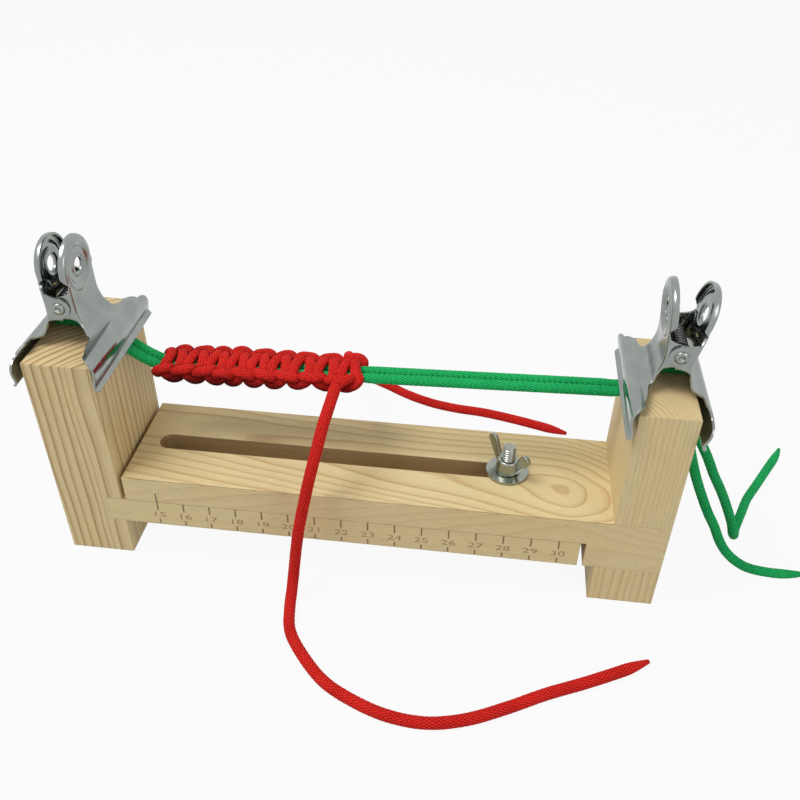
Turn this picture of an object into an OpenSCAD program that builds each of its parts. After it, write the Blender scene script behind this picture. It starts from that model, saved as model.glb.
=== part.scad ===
// Adjustable cord braiding jig: two posts on a sliding plank base, a sprung clip on each post and a
// knotted cord held between the clips. The origin is on the floor, midway between the posts' outer faces.

/* [Planks] */
// Length of the slotted upper plank
plank_l = 199.6; // [195:0.2:240]
// Depth of the planks, posts and foot, front to back
plank_depth = 46; // [42:1:60]
// Thickness of the upper plank where it is slotted
upper_t = 10.8; // [9:0.2:14]
// Thickness of the slider plank
slider_t = 11.3; // [10:0.1:15]
// Running gap between the two planks
slide_gap = 0.1; // [0.05:0.05:0.3]
// Length of the upper plank's full-height right end
shoulder_l = 28; // [26:1:40]
// Gap between the slider's right end and that full-height end
slider_end_gap = 2; // [1.8:0.1:4]

/* [Posts and foot] */
// Height of both posts above the upper plank
post_rise = 48.9; // [44:0.1:70]
// Width of the left post
left_post_w = 24.6; // [20:0.2:28]
// Width of the right post
right_post_w = 19.7; // [16:0.1:24]
// Depth of the left post's housing for the slider's end
housing_depth = 6.2; // [4:0.2:8]
// Gap between the left post and the upper plank, slider closed
post_gap = 1.8; // [1.7:0.1:4]
// Height of the foot and of the gap under the planks
foot_h = 17; // [12:1:30]
// Width of the right foot
foot_w = 24; // [20:1:26]

/* [Slot and clamp] */
// Width of the slot
slot_w = 8.4; // [7:0.2:10]
// Wood left between the upper plank's left end and the slot
slot_left = 7.2; // [5:0.2:12]
// Distance from the upper plank's left end to the bolt, slider closed
bolt_from_left = 141.6; // [130:0.2:150]
// Diameter of the carriage bolt
bolt_d = 5; // [4:0.1:6]
// Height of thread that stands above the upper plank
bolt_rise = 12.4; // [11:0.2:20]
// Diameter of the bolt's domed head
bolt_head_d = 12; // [10:0.5:16]
// Height of the bolt's domed head
bolt_head_h = 2.6; // [2:0.1:4]
// Height of the bolt's square neck
bolt_neck_h = 4; // [3:0.5:6]
// Diameter of the washer
washer_d = 15.8; // [13:0.2:20]
// Thickness of the washer
washer_t = 1.2; // [0.8:0.1:2]
// Diameter of the wing nut's hub at its foot
hub_d = 9.4; // [8:0.2:12]
// Height of the wing nut's hub
hub_h = 5.6; // [4:0.2:8]
// Distance across the tips of the wings
wing_span = 21; // [18:0.5:28]
// Height of the wings above the washer
wing_rise = 12; // [10:0.5:16]
// Thickness of the wings
wing_t = 1.5; // [1:0.1:2.2]
// Direction of the wings about the bolt
wing_turn = -35; // [-90:5:90]

/* [Scale] */
// Number of marks along the scale
scale_marks = 16; // [10:1:16]
// Distance between marks
scale_pitch = 10; // [8:1:10]
// Distance from the upper plank's left end to the index line
index_from_left = 12; // [8:0.5:20]
// Width of the engraved lines
tick_w = 0.5; // [0.3:0.1:0.8]
// Depth of the engraved lines
tick_depth = 0.2; // [0.1:0.05:0.4]
// Length of the ticks above the figures
tick_upper_l = 3.9; // [2:0.1:4]
// Length of the ticks below the figures
tick_lower_l = 2.7; // [1.5:0.1:3]
// Length of the index line on the upper plank
index_l = 4.4; // [2:0.1:6]

/* [Screws] */
// Diameter of the wood screws
screw_d = 3.4; // [2.5:0.1:4]
// Diameter of their countersunk heads
screw_head_d = 7; // [6:0.2:8]
// Length of the screws through the foot into the right post
foot_screw_l = 56; // [50:1:70]
// Length of the screws through the left post into the slider
post_screw_l = 42; // [34:1:50]
// Distance between the two screws of a pair
screw_spacing = 24; // [18:1:30]

/* [Clips] */
// Width of a clip's jaw
jaw_w = 51.6; // [48:0.2:60]
// Thickness of the sheet steel
sheet_t = 0.8; // [0.6:0.1:1]
// Clear width between the inner jaw's ears
ear_span = 18.2; // [16:0.2:20]
// Side play between nested ears
ear_play = 0.2; // [0.1:0.05:0.3]
// Diameter of the hinge pin
pin_d = 3; // [2.4:0.1:3.4]
// Radial play of the jaws on the pin
pin_play = 0.05; // [0.02:0.01:0.1]
// Diameter of the pin's flared ends
pin_head_d = 4.6; // [4:0.1:5.4]
// Height of the pin above the post's top
pin_rise = 15.2; // [15:0.1:18]
// Distance of a jaw's neck from the pin axis
neck_out = 4.3; // [4.3:0.1:5.5]
// Angle at which a jaw's neck spreads above the pin
neck_flare = 10; // [8:0.5:11]
// Distance of the grip line below the pin, in the jaw's own frame
grip_reach = 22.7; // [22:0.1:25]
// Distance of the grip line out from the pin, in the jaw's own frame
grip_out = 10.4; // [10:0.1:12]
// How far the jaw swells outside its grip line
jaw_swell = 1.7; // [1.4:0.1:2.4]
// How far the lip turns out below the grip line
lip_l = 1.3; // [1:0.1:2.5]
// Distance of the wide plate's upper edge below the pin
plate_top = 11.6; // [11:0.1:13]
// Corner radius of the wide plate
plate_corner = 4; // [3:0.5:5]
// Fillet between neck and wide plate
neck_fillet = 4; // [2:0.5:6]
// Radius of the arch between the jaws
arch_r = 6.6; // [6:0.1:7]
// Distance of the arch's centre below the pin
arch_drop = 11.2; // [11:0.1:12]
// Radius of the eye round the pin
eye_r = 3.9; // [3.4:0.1:3.9]
// Radius of a finger loop
loop_r = 10; // [9:0.1:11]
// Height of a finger loop's centre above the pin
loop_rise = 10.6; // [10.2:0.1:11.5]
// Diameter of the hole in a finger loop
loop_hole_d = 5.4; // [4:0.1:7]
// Depth of the loop's turned-in rim
rim_depth = 1.8; // [1:0.1:2]
// Gap between a post's face and a jaw's grip line
grip_gap = 1.2; // [1.2:0.1:2]
// Outward lean of the left clip
left_lean = 1.5; // [0:0.5:4]
// Outward lean of the right clip
right_lean = 4.5; // [0:0.5:6]

/* [Clip springs] */
// Diameter of the spring wire
spring_wire = 0.9; // [0.7:0.05:1]
// Number of whole turns on the pin
spring_turns = 8; // [6:1:9]
// Distance between turns
spring_pitch = 1.5; // [1.45:0.05:1.7]
// Play between the pin and the coil
spring_play = 0.5; // [0.3:0.05:0.7]
// Height at which each leg presses on its jaw
leg_rise = 7.6; // [7:0.1:8.5]

/* [Cord] */
// Diameter of the cord
cord_d = 4; // [3.4:0.1:4.2]
// Distance of the core's middle behind the posts' middle
cord_y = 6; // [0:0.5:8]
// Distance between the two core strands
strand_pitch = 4.4; // [4.3:0.1:5]
// Thickness of a strand squeezed under a jaw
squeezed_t = 0.85; // [0.6:0.05:0.85]
// Thickness of a strand on a post's top
laid_t = 3; // [2.4:0.1:3]
// Length of the knotted bar
weave_l = 76; // [60:1:90]
// Width of the knotted bar over its lobes
weave_w = 18; // [16:0.5:20]
// Thickness of the knotted bar
weave_t = 9; // [7:0.5:10]
// Number of lobes on each side
weave_lobes = 9; // [7:1:10]
// Distance from the left post to the knotted bar
weave_from_post = 11; // [10.5:0.5:16]
// Drop of the knotted bar's left end below the posts' tops
weave_drop = 15.4; // [14:0.1:17]
// Rise of the knotted bar from left to right
weave_rise = 1.8; // [0:0.1:3]

/* [Hidden] */
$fn = 64;
cord_sides = 8;
wire_sides = 6;
rings_per_curl = 8;

// Clearances
thread_play = 0.05;
hole_play = 0.3;
screw_play = 0.05;
cord_clear = 0.2;
core_reach = 9;
core_dip = 4.4;
cut = 1;

// Heights
slider_z0 = foot_h;
slider_z1 = slider_z0 + slider_t;
upper_z0 = slider_z1 + slide_gap;
upper_z1 = upper_z0 + upper_t;
post_z1 = upper_z1 + post_rise;
pin_z = post_z1 + pin_rise;

// Places along the jig
frame_l = left_post_w + post_gap + plank_l;
left_x0 = -frame_l / 2;
left_x1 = left_x0 + left_post_w;
plank_x0 = left_x1 + post_gap;
plank_x1 = plank_x0 + plank_l;
right_x0 = plank_x1 - right_post_w;
foot_x0 = plank_x1 - foot_w;
slider_x0 = left_x1 - housing_depth;
slider_x1 = plank_x1 - shoulder_l - slider_end_gap;
bolt_x = plank_x0 + bolt_from_left;
slot_x0 = plank_x0 + slot_left;
index_x = plank_x0 + index_from_left;
front_y = -plank_depth / 2;
left_mid = (left_x0 + left_x1) / 2;
right_mid = (right_x0 + plank_x1) / 2;

// Bolt, washer and nut
bolt_r = bolt_d / 2;
neck_side = bolt_d + 0.4;
washer_z1 = upper_z1 + washer_t;
slot_r = slot_w / 2;

// Screws
head_taper = (screw_head_d - screw_d) / 2;
head_sink = 0.4;

// Clip geometry: each jaw turns out until its grip line lies at grip_gap from the post
grip_arm = norm([grip_out, grip_reach]);
grip_angle = atan(grip_out / grip_reach);
function jaw_turn(post_w, lean) = asin((post_w / 2 + grip_gap) / (grip_arm * cos(lean))) - grip_angle;
left_turn = jaw_turn(left_post_w, left_lean);
right_turn = jaw_turn(right_post_w, right_lean);
function pin_shift(turn, lean) = grip_arm * cos(grip_angle + turn) * sin(lean);
left_pin_x = left_mid - pin_shift(left_turn, left_lean);
right_pin_x = right_mid + pin_shift(right_turn, right_lean);
ear_y = [ear_span / 2, ear_span / 2 + sheet_t + ear_play];
pin_half = ear_y[1] + sheet_t + ear_play;
pin_head_t = 0.6;
neck_slope = tan(neck_flare);
loop_x = neck_out + neck_slope * loop_rise;
loop_start = -20;
rim_proud = 0.3;
rim_from = 0.45 * loop_r;
rim_root = 0.15;
ear_inset = 0.05;
shelf_cut = 3.2;
jaw_reach = grip_out + jaw_swell + lip_l + 5;
jaw_bottom = -grip_reach - lip_l - 5;

// A point of a jaw's own frame, x out from the pin and z up, after the jaw has turned out by an angle
function turned(p, angle) = [p[0] * cos(angle) - p[1] * sin(angle), p[1] * cos(angle) + p[0] * sin(angle)];
function grip_z(angle) = pin_z + turned([grip_out, -grip_reach], angle)[1];

// Points of a round stretch
function arc(centre, r, from, to, steps) = [for (i = [0:steps])
    let (a = from + (to - from) * i / steps) centre + r * [cos(a), sin(a)]];

// Smooth curve through key points
function curve_at(a, b, c, d, t) =
    0.5 * (2 * b + (c - a) * t + (2 * a - 5 * b + 4 * c - d) * t * t + (3 * b - a - 3 * c + d) * t * t * t);
function smooth(k, steps) = concat(
    [for (i = [0:len(k) - 2]) for (j = [0:steps - 1])
        curve_at(k[max(i - 1, 0)], k[i], k[i + 1], k[min(i + 2, len(k) - 1)], j / steps)],
    [k[len(k) - 1]]);
function unit(v) = v / norm(v);
function tangents(p) = [for (i = [0:len(p) - 1]) unit(p[min(i + 1, len(p) - 1)] - p[max(i - 1, 0)])];

// Inner face of the jaw's sheet, from the loop's top down to the lip
loop_top = loop_rise + loop_r + cut;
jaw_top = [neck_out + neck_slope * loop_top, loop_top];
jaw_keys = [
    [neck_out + neck_slope * eye_r, eye_r],
    [neck_out - 0.2, -3],
    [neck_out + 0.6, 3.5 - plate_top],
    [neck_out + 1.7, -plate_top],
    [neck_out + 4.3, -plate_top - 1.4],
    [grip_out + jaw_swell - 1.2, -plate_top - 1.9],
    [grip_out + jaw_swell, -plate_top - 4.2],
    [grip_out + jaw_swell - 0.3, 4 - grip_reach],
    [grip_out + 0.5, 1.4 - grip_reach],
    [grip_out, -grip_reach],
    [grip_out + 0.3, -grip_reach - 1.3],
    [grip_out + lip_l, -grip_reach - 2.4]
];
jaw_inner = concat([jaw_top], smooth(jaw_keys, 2));
jaw_run = tangents(jaw_inner);
jaw_outer = [for (i = [0:len(jaw_inner) - 1]) jaw_inner[i] + sheet_t * [-jaw_run[i][1], jaw_run[i][0]]];
jaw_section = concat(jaw_inner, [for (i = [len(jaw_outer) - 1:-1:0]) jaw_outer[i]]);

// Ring directions carried along a path, so that a tube doesn't twist
function carried(t, u, i) =
    i == len(t) ? [] : let (v = unit(u - (u * t[i]) * t[i])) concat([v], carried(t, v, i + 1));

// Closed tube along points; radii holds one pair for each point, across and along the first direction
module tube(points, radii, across, sides) {
    t = tangents(points);
    u = carried(t, across, 0);
    n = len(points);
    rings = [for (i = [0:n - 1]) for (k = [0:sides - 1])
        points[i] + radii[i][0] * cos(k * 360 / sides + 180 / sides) * u[i]
            + radii[i][1] * sin(k * 360 / sides + 180 / sides) * cross(t[i], u[i])];
    walls = [for (i = [0:n - 2]) for (k = [0:sides - 1])
        let (a = i * sides + k, b = i * sides + (k + 1) % sides)
            each [[a, a + sides, b], [b, a + sides, b + sides]]];
    first_cap = [for (k = [1:sides - 2]) [0, k, k + 1]];
    last_cap = [for (k = [1:sides - 2]) [(n - 1) * sides, (n - 1) * sides + k + 1, (n - 1) * sides + k]];
    polyhedron(rings, concat(walls, first_cap, last_cap));
}
module cord(points, across) tube(points, [for (p = points) [cord_d / 2, cord_d / 2]], across, cord_sides);

// A strand's place over a post: points across the post from inner lip to outer lip, each with its
// half width and half thickness. inner and outer are the faces, out is the outward direction.
function over_post(inner, outer, out, y, inner_z, outer_z) =
    let (w = cord_d / 2 + 0.1, s = squeezed_t / 2, h = laid_t / 2, top = post_z1 + 0.1)
    [
        [[inner - out * (s + 0.05), y, inner_z - 1.6], w, s],
        [[inner - out * (s + 0.05), y, inner_z + 2], w, s],
        [[inner - out * (s + 0.05), y, top - 1.4], w, s],
        [[inner - out * 0.35, y, top + 0.5], w, s],
        [[inner + out * 1.2, y, top + s + 0.6], w, s + 0.3],
        [[inner + out * 4, y, top + h], w, h],
        [[outer - out * 4, y, top + h], w, h],
        [[outer - out * 1.2, y, top + s + 0.6], w, s + 0.3],
        [[outer + out * 0.35, y, top + 0.5], w, s],
        [[outer + out * (s + 0.05), y, top - 1.4], w, s],
        [[outer + out * (s + 0.05), y, outer_z + 2], w, s],
        [[outer + out * (s + 0.05), y, outer_z - 1.6], w, s]
    ];
function backward(list) = [for (i = [len(list) - 1:-1:0]) list[i]];
module strand(stations, across) tube([for (s = stations) s[0]], [for (s = stations) [s[1], s[2]]], across, cord_sides);

// Knotted bar and core
weave_x0 = left_x1 + weave_from_post;
weave_x1 = weave_x0 + weave_l;
weave_z0 = post_z1 - weave_drop;
weave_z1 = weave_z0 + weave_rise;
strand_y = [cord_y - strand_pitch / 2, cord_y + strand_pitch / 2];
left_inner_z = grip_z(left_turn + left_lean);
left_outer_z = grip_z(left_turn - left_lean);
right_inner_z = grip_z(right_turn + right_lean);
right_outer_z = grip_z(right_turn - right_lean);
round_r = cord_d / 2;

// Routes of the free tails, chosen by hand
green_front_route = [
    [115, 4, 74], [116, 4, 68], [118, 4, 60], [121, 4, 51], [124, 3, 43], [128, 3, 34], [132, 2, 26],
    [136, 2, 19], [139, 1, 13], [143, 1, 7], [148, 0, 3], [153, -2, 2], [159, -3, 2], [166, -3, 2], [174, -2, 2]
];
green_back_route = [
    [115, 8, 74], [117, 8, 68], [120, 8, 62], [124, 8, 55], [128, 8, 48], [132, 8, 40], [137, 9, 31],
    [141, 9, 23], [145, 10, 14], [147, 11, 8], [149, 14, 4], [151, 20, 2], [155, 29, 2], [159, 38, 2],
    [165, 48, 2], [171, 58, 2], [177, 68, 2], [180, 74, 2]
];
red_front_route = [
    [-6, 1, 76], [-8, -5, 77], [-10, -12, 74], [-12, -19, 69], [-14, -25, 62], [-16, -29, 53],
    [-18, -31, 43], [-20, -33, 32], [-22, -34, 21], [-23, -35, 12], [-23, -38, 5], [-22, -45, 2],
    [-18, -55, 2], [-11, -65, 2], [-2, -74, 2], [9, -80, 2], [21, -84, 2], [34, -85, 2], [47, -82, 2],
    [60, -76, 2], [73, -69, 2], [86, -63, 2], [98, -57, 2], [109, -51, 2]
];
red_back_route = [
    [-6, 11, 74], [-7, 18, 72], [-9, 27, 67], [-11, 37, 60], [-13, 48, 51], [-15, 59, 42], [-16, 70, 33],
    [-17, 81, 23], [-17, 91, 13], [-16, 98, 6], [-12, 102, 2], [-4, 99, 2], [8, 93, 2], [20, 89, 2],
    [32, 86, 2], [45, 83, 2], [58, 80, 2], [71, 76, 2], [84, 72, 2]
];

// Frame

module slot_cut(x0, x1, z0, z1, r) {
    translate([x0 + r, 0, z0]) cylinder(r = r, h = z1 - z0);
    translate([x1 - r, 0, z0]) cylinder(r = r, h = z1 - z0);
    translate([x0 + r, -r, z0]) cube([x1 - x0 - 2 * r, 2 * r, z1 - z0]);
}

module front_groove(x, z0, z1) {
    translate([x - tick_w / 2, front_y - cut, z0]) cube([tick_w, cut + tick_depth, z1 - z0]);
}

module upper_plank() color("burlywood") difference() {
    union() {
        translate([plank_x0, front_y, upper_z0]) cube([plank_l, plank_depth, upper_t]);
        translate([plank_x1 - shoulder_l, front_y, slider_z0])
            cube([shoulder_l, plank_depth, upper_z1 - slider_z0]);
    }
    slot_cut(slot_x0, bolt_x + slot_r, upper_z0 - cut, upper_z1 + cut, slot_r);
    front_groove(index_x, upper_z0 - cut, upper_z0 + index_l);
    foot_screw_holes(screw_d / 2 + screw_play);
}

module right_post() color("burlywood") difference() {
    translate([right_x0, front_y, upper_z1]) cube([right_post_w, plank_depth, post_rise]);
    foot_screw_holes(screw_d / 2 + screw_play);
}

module right_foot() color("burlywood") difference() {
    translate([foot_x0, front_y, 0]) cube([foot_w, plank_depth, foot_h]);
    foot_screw_holes(screw_d / 2 + screw_play);
    for (s = [-1, 1]) translate([right_mid, s * screw_spacing / 2, -cut]) {
        cylinder(r = screw_head_d / 2 + screw_play, h = cut + head_sink);
        translate([0, 0, cut + head_sink])
            cylinder(r1 = screw_head_d / 2 + screw_play, r2 = screw_d / 2 + screw_play, h = head_taper);
    }
}

module foot_screw_holes(r) {
    for (s = [-1, 1]) translate([right_mid, s * screw_spacing / 2, head_sink]) cylinder(r = r, h = foot_screw_l);
}

module wood_screw(l) difference() {
    union() {
        cylinder(r1 = screw_head_d / 2, r2 = screw_d / 2, h = head_taper);
        cylinder(r = screw_d / 2, h = l - 4);
        translate([0, 0, l - 4]) cylinder(r1 = screw_d / 2, r2 = 0.3, h = 4);
    }
    for (a = [0, 90]) rotate([0, 0, a]) translate([-1.8, -0.4, -cut]) cube([3.6, 0.8, cut + 1.2]);
}

module right_screws() color("silver") {
    for (s = [-1, 1]) translate([right_mid, s * screw_spacing / 2, head_sink]) wood_screw(foot_screw_l);
}

module slider_plank() color("burlywood") difference() {
    translate([slider_x0, front_y, slider_z0]) cube([slider_x1 - slider_x0, plank_depth, slider_t]);
    translate([bolt_x, 0, slider_z0 - cut]) cylinder(r = bolt_r + hole_play, h = slider_t + 2 * cut);
    translate([bolt_x - neck_side / 2, -neck_side / 2, slider_z0 - cut])
        cube([neck_side, neck_side, bolt_neck_h + cut]);
    for (i = [0:scale_marks - 1]) {
        front_groove(index_x + i * scale_pitch, slider_z1 - tick_upper_l, slider_z1 + cut);
        front_groove(index_x + i * scale_pitch, slider_z0 - cut, slider_z0 + tick_lower_l);
    }
    post_screw_holes(screw_d / 2 + screw_play);
}

module left_post() color("burlywood") difference() {
    translate([left_x0, front_y, 0]) cube([left_post_w, plank_depth, post_z1]);
    translate([slider_x0, front_y - cut, slider_z0])
        cube([housing_depth + cut, plank_depth + 2 * cut, slider_t]);
    post_screw_holes(screw_d / 2 + screw_play);
    for (s = [-1, 1]) translate([left_x0 - cut, s * screw_spacing / 2, slider_z0 + slider_t / 2])
        rotate([0, 90, 0]) {
            cylinder(r = screw_head_d / 2 + screw_play, h = cut + head_sink);
            translate([0, 0, cut + head_sink])
                cylinder(r1 = screw_head_d / 2 + screw_play, r2 = screw_d / 2 + screw_play, h = head_taper);
        }
}

module post_screw_holes(r) {
    for (s = [-1, 1]) translate([left_x0 + head_sink, s * screw_spacing / 2, slider_z0 + slider_t / 2])
        rotate([0, 90, 0]) cylinder(r = r, h = post_screw_l);
}

module left_screws() color("silver") {
    for (s = [-1, 1]) translate([left_x0 + head_sink, s * screw_spacing / 2, slider_z0 + slider_t / 2])
        rotate([0, 90, 0]) wood_screw(post_screw_l);
}

// Clamp

module carriage_bolt() color("silver") translate([bolt_x, 0, 0]) {
    head_ball = (pow(bolt_head_d / 2, 2) + pow(bolt_head_h, 2)) / (2 * bolt_head_h);
    intersection() {
        translate([0, 0, slider_z0 - bolt_head_h + head_ball]) sphere(r = head_ball);
        translate([0, 0, slider_z0 - bolt_head_h]) cylinder(r = bolt_head_d / 2, h = bolt_head_h);
    }
    translate([-bolt_r, -bolt_r, slider_z0 - thread_play]) cube([bolt_d, bolt_d, bolt_neck_h]);
    translate([0, 0, slider_z0]) cylinder(r = bolt_r, h = upper_z1 + bolt_rise - 0.5 - slider_z0);
    translate([0, 0, upper_z1 + bolt_rise - 0.5]) cylinder(r1 = bolt_r, r2 = bolt_r - 0.5, h = 0.5);
}

module flat_washer() color("silver") difference() {
    translate([bolt_x, 0, upper_z1]) cylinder(r = washer_d / 2, h = washer_t);
    translate([bolt_x, 0, upper_z1 - cut]) cylinder(r = bolt_r + hole_play, h = washer_t + 2 * cut);
}

module wing() {
    tip_r = 2.2;
    tip = [wing_span / 2 - tip_r, wing_rise - tip_r];
    rotate([90, 0, 0]) linear_extrude(wing_t, center = true) {
        translate(tip) circle(r = tip_r);
        polygon([
            [bolt_r + 0.8, 0.6], [hub_d / 2 - 0.1, 0.6], tip + tip_r * [cos(25), -sin(25)],
            tip + tip_r * [-cos(25), sin(25)], [hub_d / 2 - 0.9, hub_h - 0.3], [bolt_r + 0.8, hub_h - 0.3]
        ]);
    }
}

module wing_nut() color("silver") translate([bolt_x, 0, washer_z1]) rotate([0, 0, wing_turn]) difference() {
    union() {
        cylinder(r1 = hub_d / 2, r2 = hub_d / 2 - 0.9, h = hub_h);
        for (s = [0, 1]) mirror([s, 0, 0]) wing();
    }
    translate([0, 0, -cut]) cylinder(r = bolt_r + thread_play, h = hub_h + 2 * cut);
}

// Clips

// Seen from outside: wide plate, fillets, neck and round loop
module jaw_outline(half_neck) {
    corner = [jaw_w / 2 - plate_corner, -plate_top - plate_corner];
    fillet = [half_neck + neck_fillet, neck_fillet - plate_top];
    side = concat(
        [[jaw_w / 2, jaw_bottom]], arc(corner, plate_corner, 0, 90, 6),
        arc(fillet, neck_fillet, 270, 180, 5), [[half_neck, eye_r + 1]]);
    loop = arc([0, loop_rise], loop_r, loop_start, 180 - loop_start, 32);
    polygon(concat(side, loop, [for (i = [len(side) - 1:-1:0]) [-side[i][0], side[i][1]]]));
}

// Seen from above, the wide plate's upper edge runs from the neck out to the plate's ends
module shelf_outline(half_neck) {
    inside = half_neck + neck_fillet;
    half = jaw_w / 2 + cut;
    polygon([
        [0, -inside], [neck_out + 3, -inside], [grip_out - 0.8, -half], [jaw_reach, -half],
        [jaw_reach, half], [grip_out - 0.8, half], [neck_out + 3, inside], [0, inside]
    ]);
}

module ear_outline() {
    low = -arch_drop + sqrt(arch_r * arch_r - pow(neck_out - 0.6, 2)) + 0.4;
    difference() {
        union() {
            circle(r = eye_r);
            polygon([
                [-1, eye_r - 0.6], [neck_out + neck_slope * (eye_r + 1) + sheet_t / 2, eye_r + 1],
                [neck_out + sheet_t / 2, 0], [neck_out - 0.4 + sheet_t / 2, -eye_r],
                [neck_out - 0.3 + sheet_t / 2, low - 1.5], [-1, low - 1.5]
            ]);
        }
        translate([0, -arch_drop]) circle(r = arch_r);
    }
}

// One jaw in its own frame, with the pin on the Y axis and the sheet on the +X side
module jaw(ear_in) {
    half_neck = ear_in + sheet_t;
    shelf_z = -plate_top - shelf_cut;
    difference() {
        union() {
            intersection() {
                rotate([90, 0, 0]) linear_extrude(jaw_w, center = true) polygon(jaw_section);
                rotate([90, 0, 90]) linear_extrude(jaw_reach) jaw_outline(half_neck);
                union() {
                    translate([-jaw_reach, -jaw_w / 2 - cut, jaw_bottom])
                        cube([2 * jaw_reach, jaw_w + 2 * cut, shelf_z - jaw_bottom]);
                    translate([0, 0, shelf_z]) linear_extrude(loop_top - shelf_z) shelf_outline(half_neck);
                }
            }
            for (s = [0, 1]) mirror([0, s, 0]) translate([0, half_neck - ear_inset, 0]) rotate([90, 0, 0])
                linear_extrude(sheet_t - ear_inset) ear_outline();
            translate([loop_x, 0, loop_rise]) rotate([0, neck_flare, 0]) rotate([0, -90, 0]) loop_rim();
        }
        translate([0, half_neck + cut, 0]) rotate([90, 0, 0])
            cylinder(r = pin_d / 2 + pin_play, h = 2 * (half_neck + cut));
        translate([loop_x, 0, loop_rise]) rotate([0, neck_flare, 0]) rotate([0, 90, 0])
            cylinder(r = loop_hole_d / 2, h = 4 * sheet_t, center = true);
    }
}

module loop_rim() translate([0, 0, rim_root - sheet_t]) difference() {
    rim_h = rim_depth + sheet_t - rim_root;
    cylinder(r = loop_r + rim_proud, h = rim_h);
    translate([0, 0, -cut]) cylinder(r = loop_r + rim_proud - sheet_t, h = rim_h + 2 * cut);
    translate([-loop_r - 2 * cut, -loop_r - 2 * cut, -cut])
        cube([loop_r + 2 * cut - rim_from, 2 * (loop_r + 2 * cut), rim_h + 2 * cut]);
}

module placed_jaw(pin_x, side, angle, ear_in) translate([pin_x, 0, pin_z]) mirror([side < 0 ? 1 : 0, 0, 0])
    rotate([0, -angle, 0]) jaw(ear_in);

module clip_pin(pin_x) color("silver") translate([pin_x, 0, pin_z]) rotate([90, 0, 0]) {
    cylinder(r = pin_d / 2, h = 2 * pin_half + 2 * pin_head_t, center = true);
    for (s = [0, 1]) mirror([0, 0, s]) translate([0, 0, pin_half])
        cylinder(r1 = pin_head_d / 2, r2 = pin_head_d / 2 - 0.4, h = pin_head_t);
}

// Spring: a leg down from the jaw on the -X side, the coil round the pin, and a leg up to the +X side
coil_r = pin_d / 2 + spring_play + spring_wire / 2;
coil_half = (spring_turns + 0.5) * spring_pitch / 2;
leg_clear = 0.2;
function leg_own(back, drop) =
    [neck_out + neck_slope * leg_rise - leg_clear - back, leg_rise - neck_slope * back - drop];
function leg(side, angle, y) =
    let (
        end = turned(leg_own(0, 0), angle),
        square = turned(leg_own(1.1 * spring_wire, 0), angle),
        knee = turned(leg_own(1.9 * spring_wire, 0.9 * spring_wire), angle),
        foot = [coil_r, 1.2]
    )
    [for (p = [end, square, knee, (2 * knee + foot) / 3, (knee + 2 * foot) / 3, foot]) [side * p[0], y, p[1]]];
function coil() = [for (i = [0:(spring_turns + 0.5) * rings_per_curl])
    let (phi = 180 + i * 360 / rings_per_curl)
        [coil_r * cos(phi), -coil_half + i * spring_pitch / rings_per_curl, coil_r * sin(phi)]];
function spring_path(minus_angle, plus_angle) =
    concat(leg(-1, minus_angle, -coil_half), coil(), backward(leg(1, plus_angle, coil_half)));
// Least distance between points of the wire that are at least half a curl apart, less the wire itself
function self_gap(p) = min([for (i = [0:len(p) - 1]) for (j = [i + rings_per_curl / 2:1:len(p) - 1])
    norm(p[i] - p[j])]) - spring_wire;

module clip_spring(pin_x, minus_angle, plus_angle) {
    path = spring_path(minus_angle, plus_angle);
    echo(spring_self_gap = self_gap(path));
    color("gray") translate([pin_x, 0, pin_z])
        tube(path, [for (p = path) [spring_wire / 2, spring_wire / 2]], [0, 1, 0], wire_sides);
}

module left_clip_pin() clip_pin(left_pin_x);
module left_clip_spring() clip_spring(left_pin_x, left_turn - left_lean, left_turn + left_lean);
module left_clip_inner_jaw() color("lightgray") placed_jaw(left_pin_x, 1, left_turn + left_lean, ear_y[0]);
module left_clip_outer_jaw() color("lightgray") placed_jaw(left_pin_x, -1, left_turn - left_lean, ear_y[1]);
module right_clip_pin() clip_pin(right_pin_x);
module right_clip_spring() clip_spring(right_pin_x, right_turn + right_lean, right_turn - right_lean);
module right_clip_inner_jaw() color("lightgray") placed_jaw(right_pin_x, -1, right_turn + right_lean, ear_y[0]);
module right_clip_outer_jaw() color("lightgray") placed_jaw(right_pin_x, 1, right_turn - right_lean, ear_y[1]);

// Cord

module weave() color("red") translate([weave_x0, cord_y, weave_z0])
    rotate([0, -atan(weave_rise / weave_l), 0]) intersection() {
        lobe_pitch = weave_l / weave_lobes;
        lobe_r = lobe_pitch * 0.56;
        linear_extrude(weave_t, center = true) {
            translate([0.6, -weave_w / 2 + lobe_r * 0.8]) square([weave_l - 1.2, weave_w - lobe_r * 1.6]);
            for (i = [0:weave_lobes - 1], s = [-1, 1])
                translate([(i + 0.5) * lobe_pitch, s * (weave_w / 2 - lobe_r)]) circle(r = lobe_r);
        }
        rotate([90, 0, 90]) linear_extrude(weave_l) polygon([for (k = [0:31])
            [weave_w / 2 * cos(k * 11.25), weave_t / 2 * sin(k * 11.25)]]);
    }

bight_z = left_outer_z - core_dip;
function left_side(y) = concat(
    [
        [[weave_x0 + 1, y, weave_z0], round_r, round_r],
        [[left_x1 + 7.5, y, (weave_z0 + left_inner_z) / 2 - 2.7], round_r, round_r],
        [[left_x1 + 4, y, left_inner_z - 5.4], round_r, 1.8],
        [[left_x1 + 1.9, y, left_inner_z - 3.6], round_r, 1.4]
    ],
    over_post(left_x1, left_x0, -1, y, left_inner_z, left_outer_z));
function bight() = [for (a = [0:45:180])
    [[left_x0 - squeezed_t / 2 - 0.05, cord_y - strand_pitch / 2 * cos(a), bight_z - 2.4 * sin(a)],
        round_r, squeezed_t / 2]];

module core_left() color("green")
    strand(concat(left_side(strand_y[0]), bight(), backward(left_side(strand_y[1]))), [0, 1, 0]);

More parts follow.
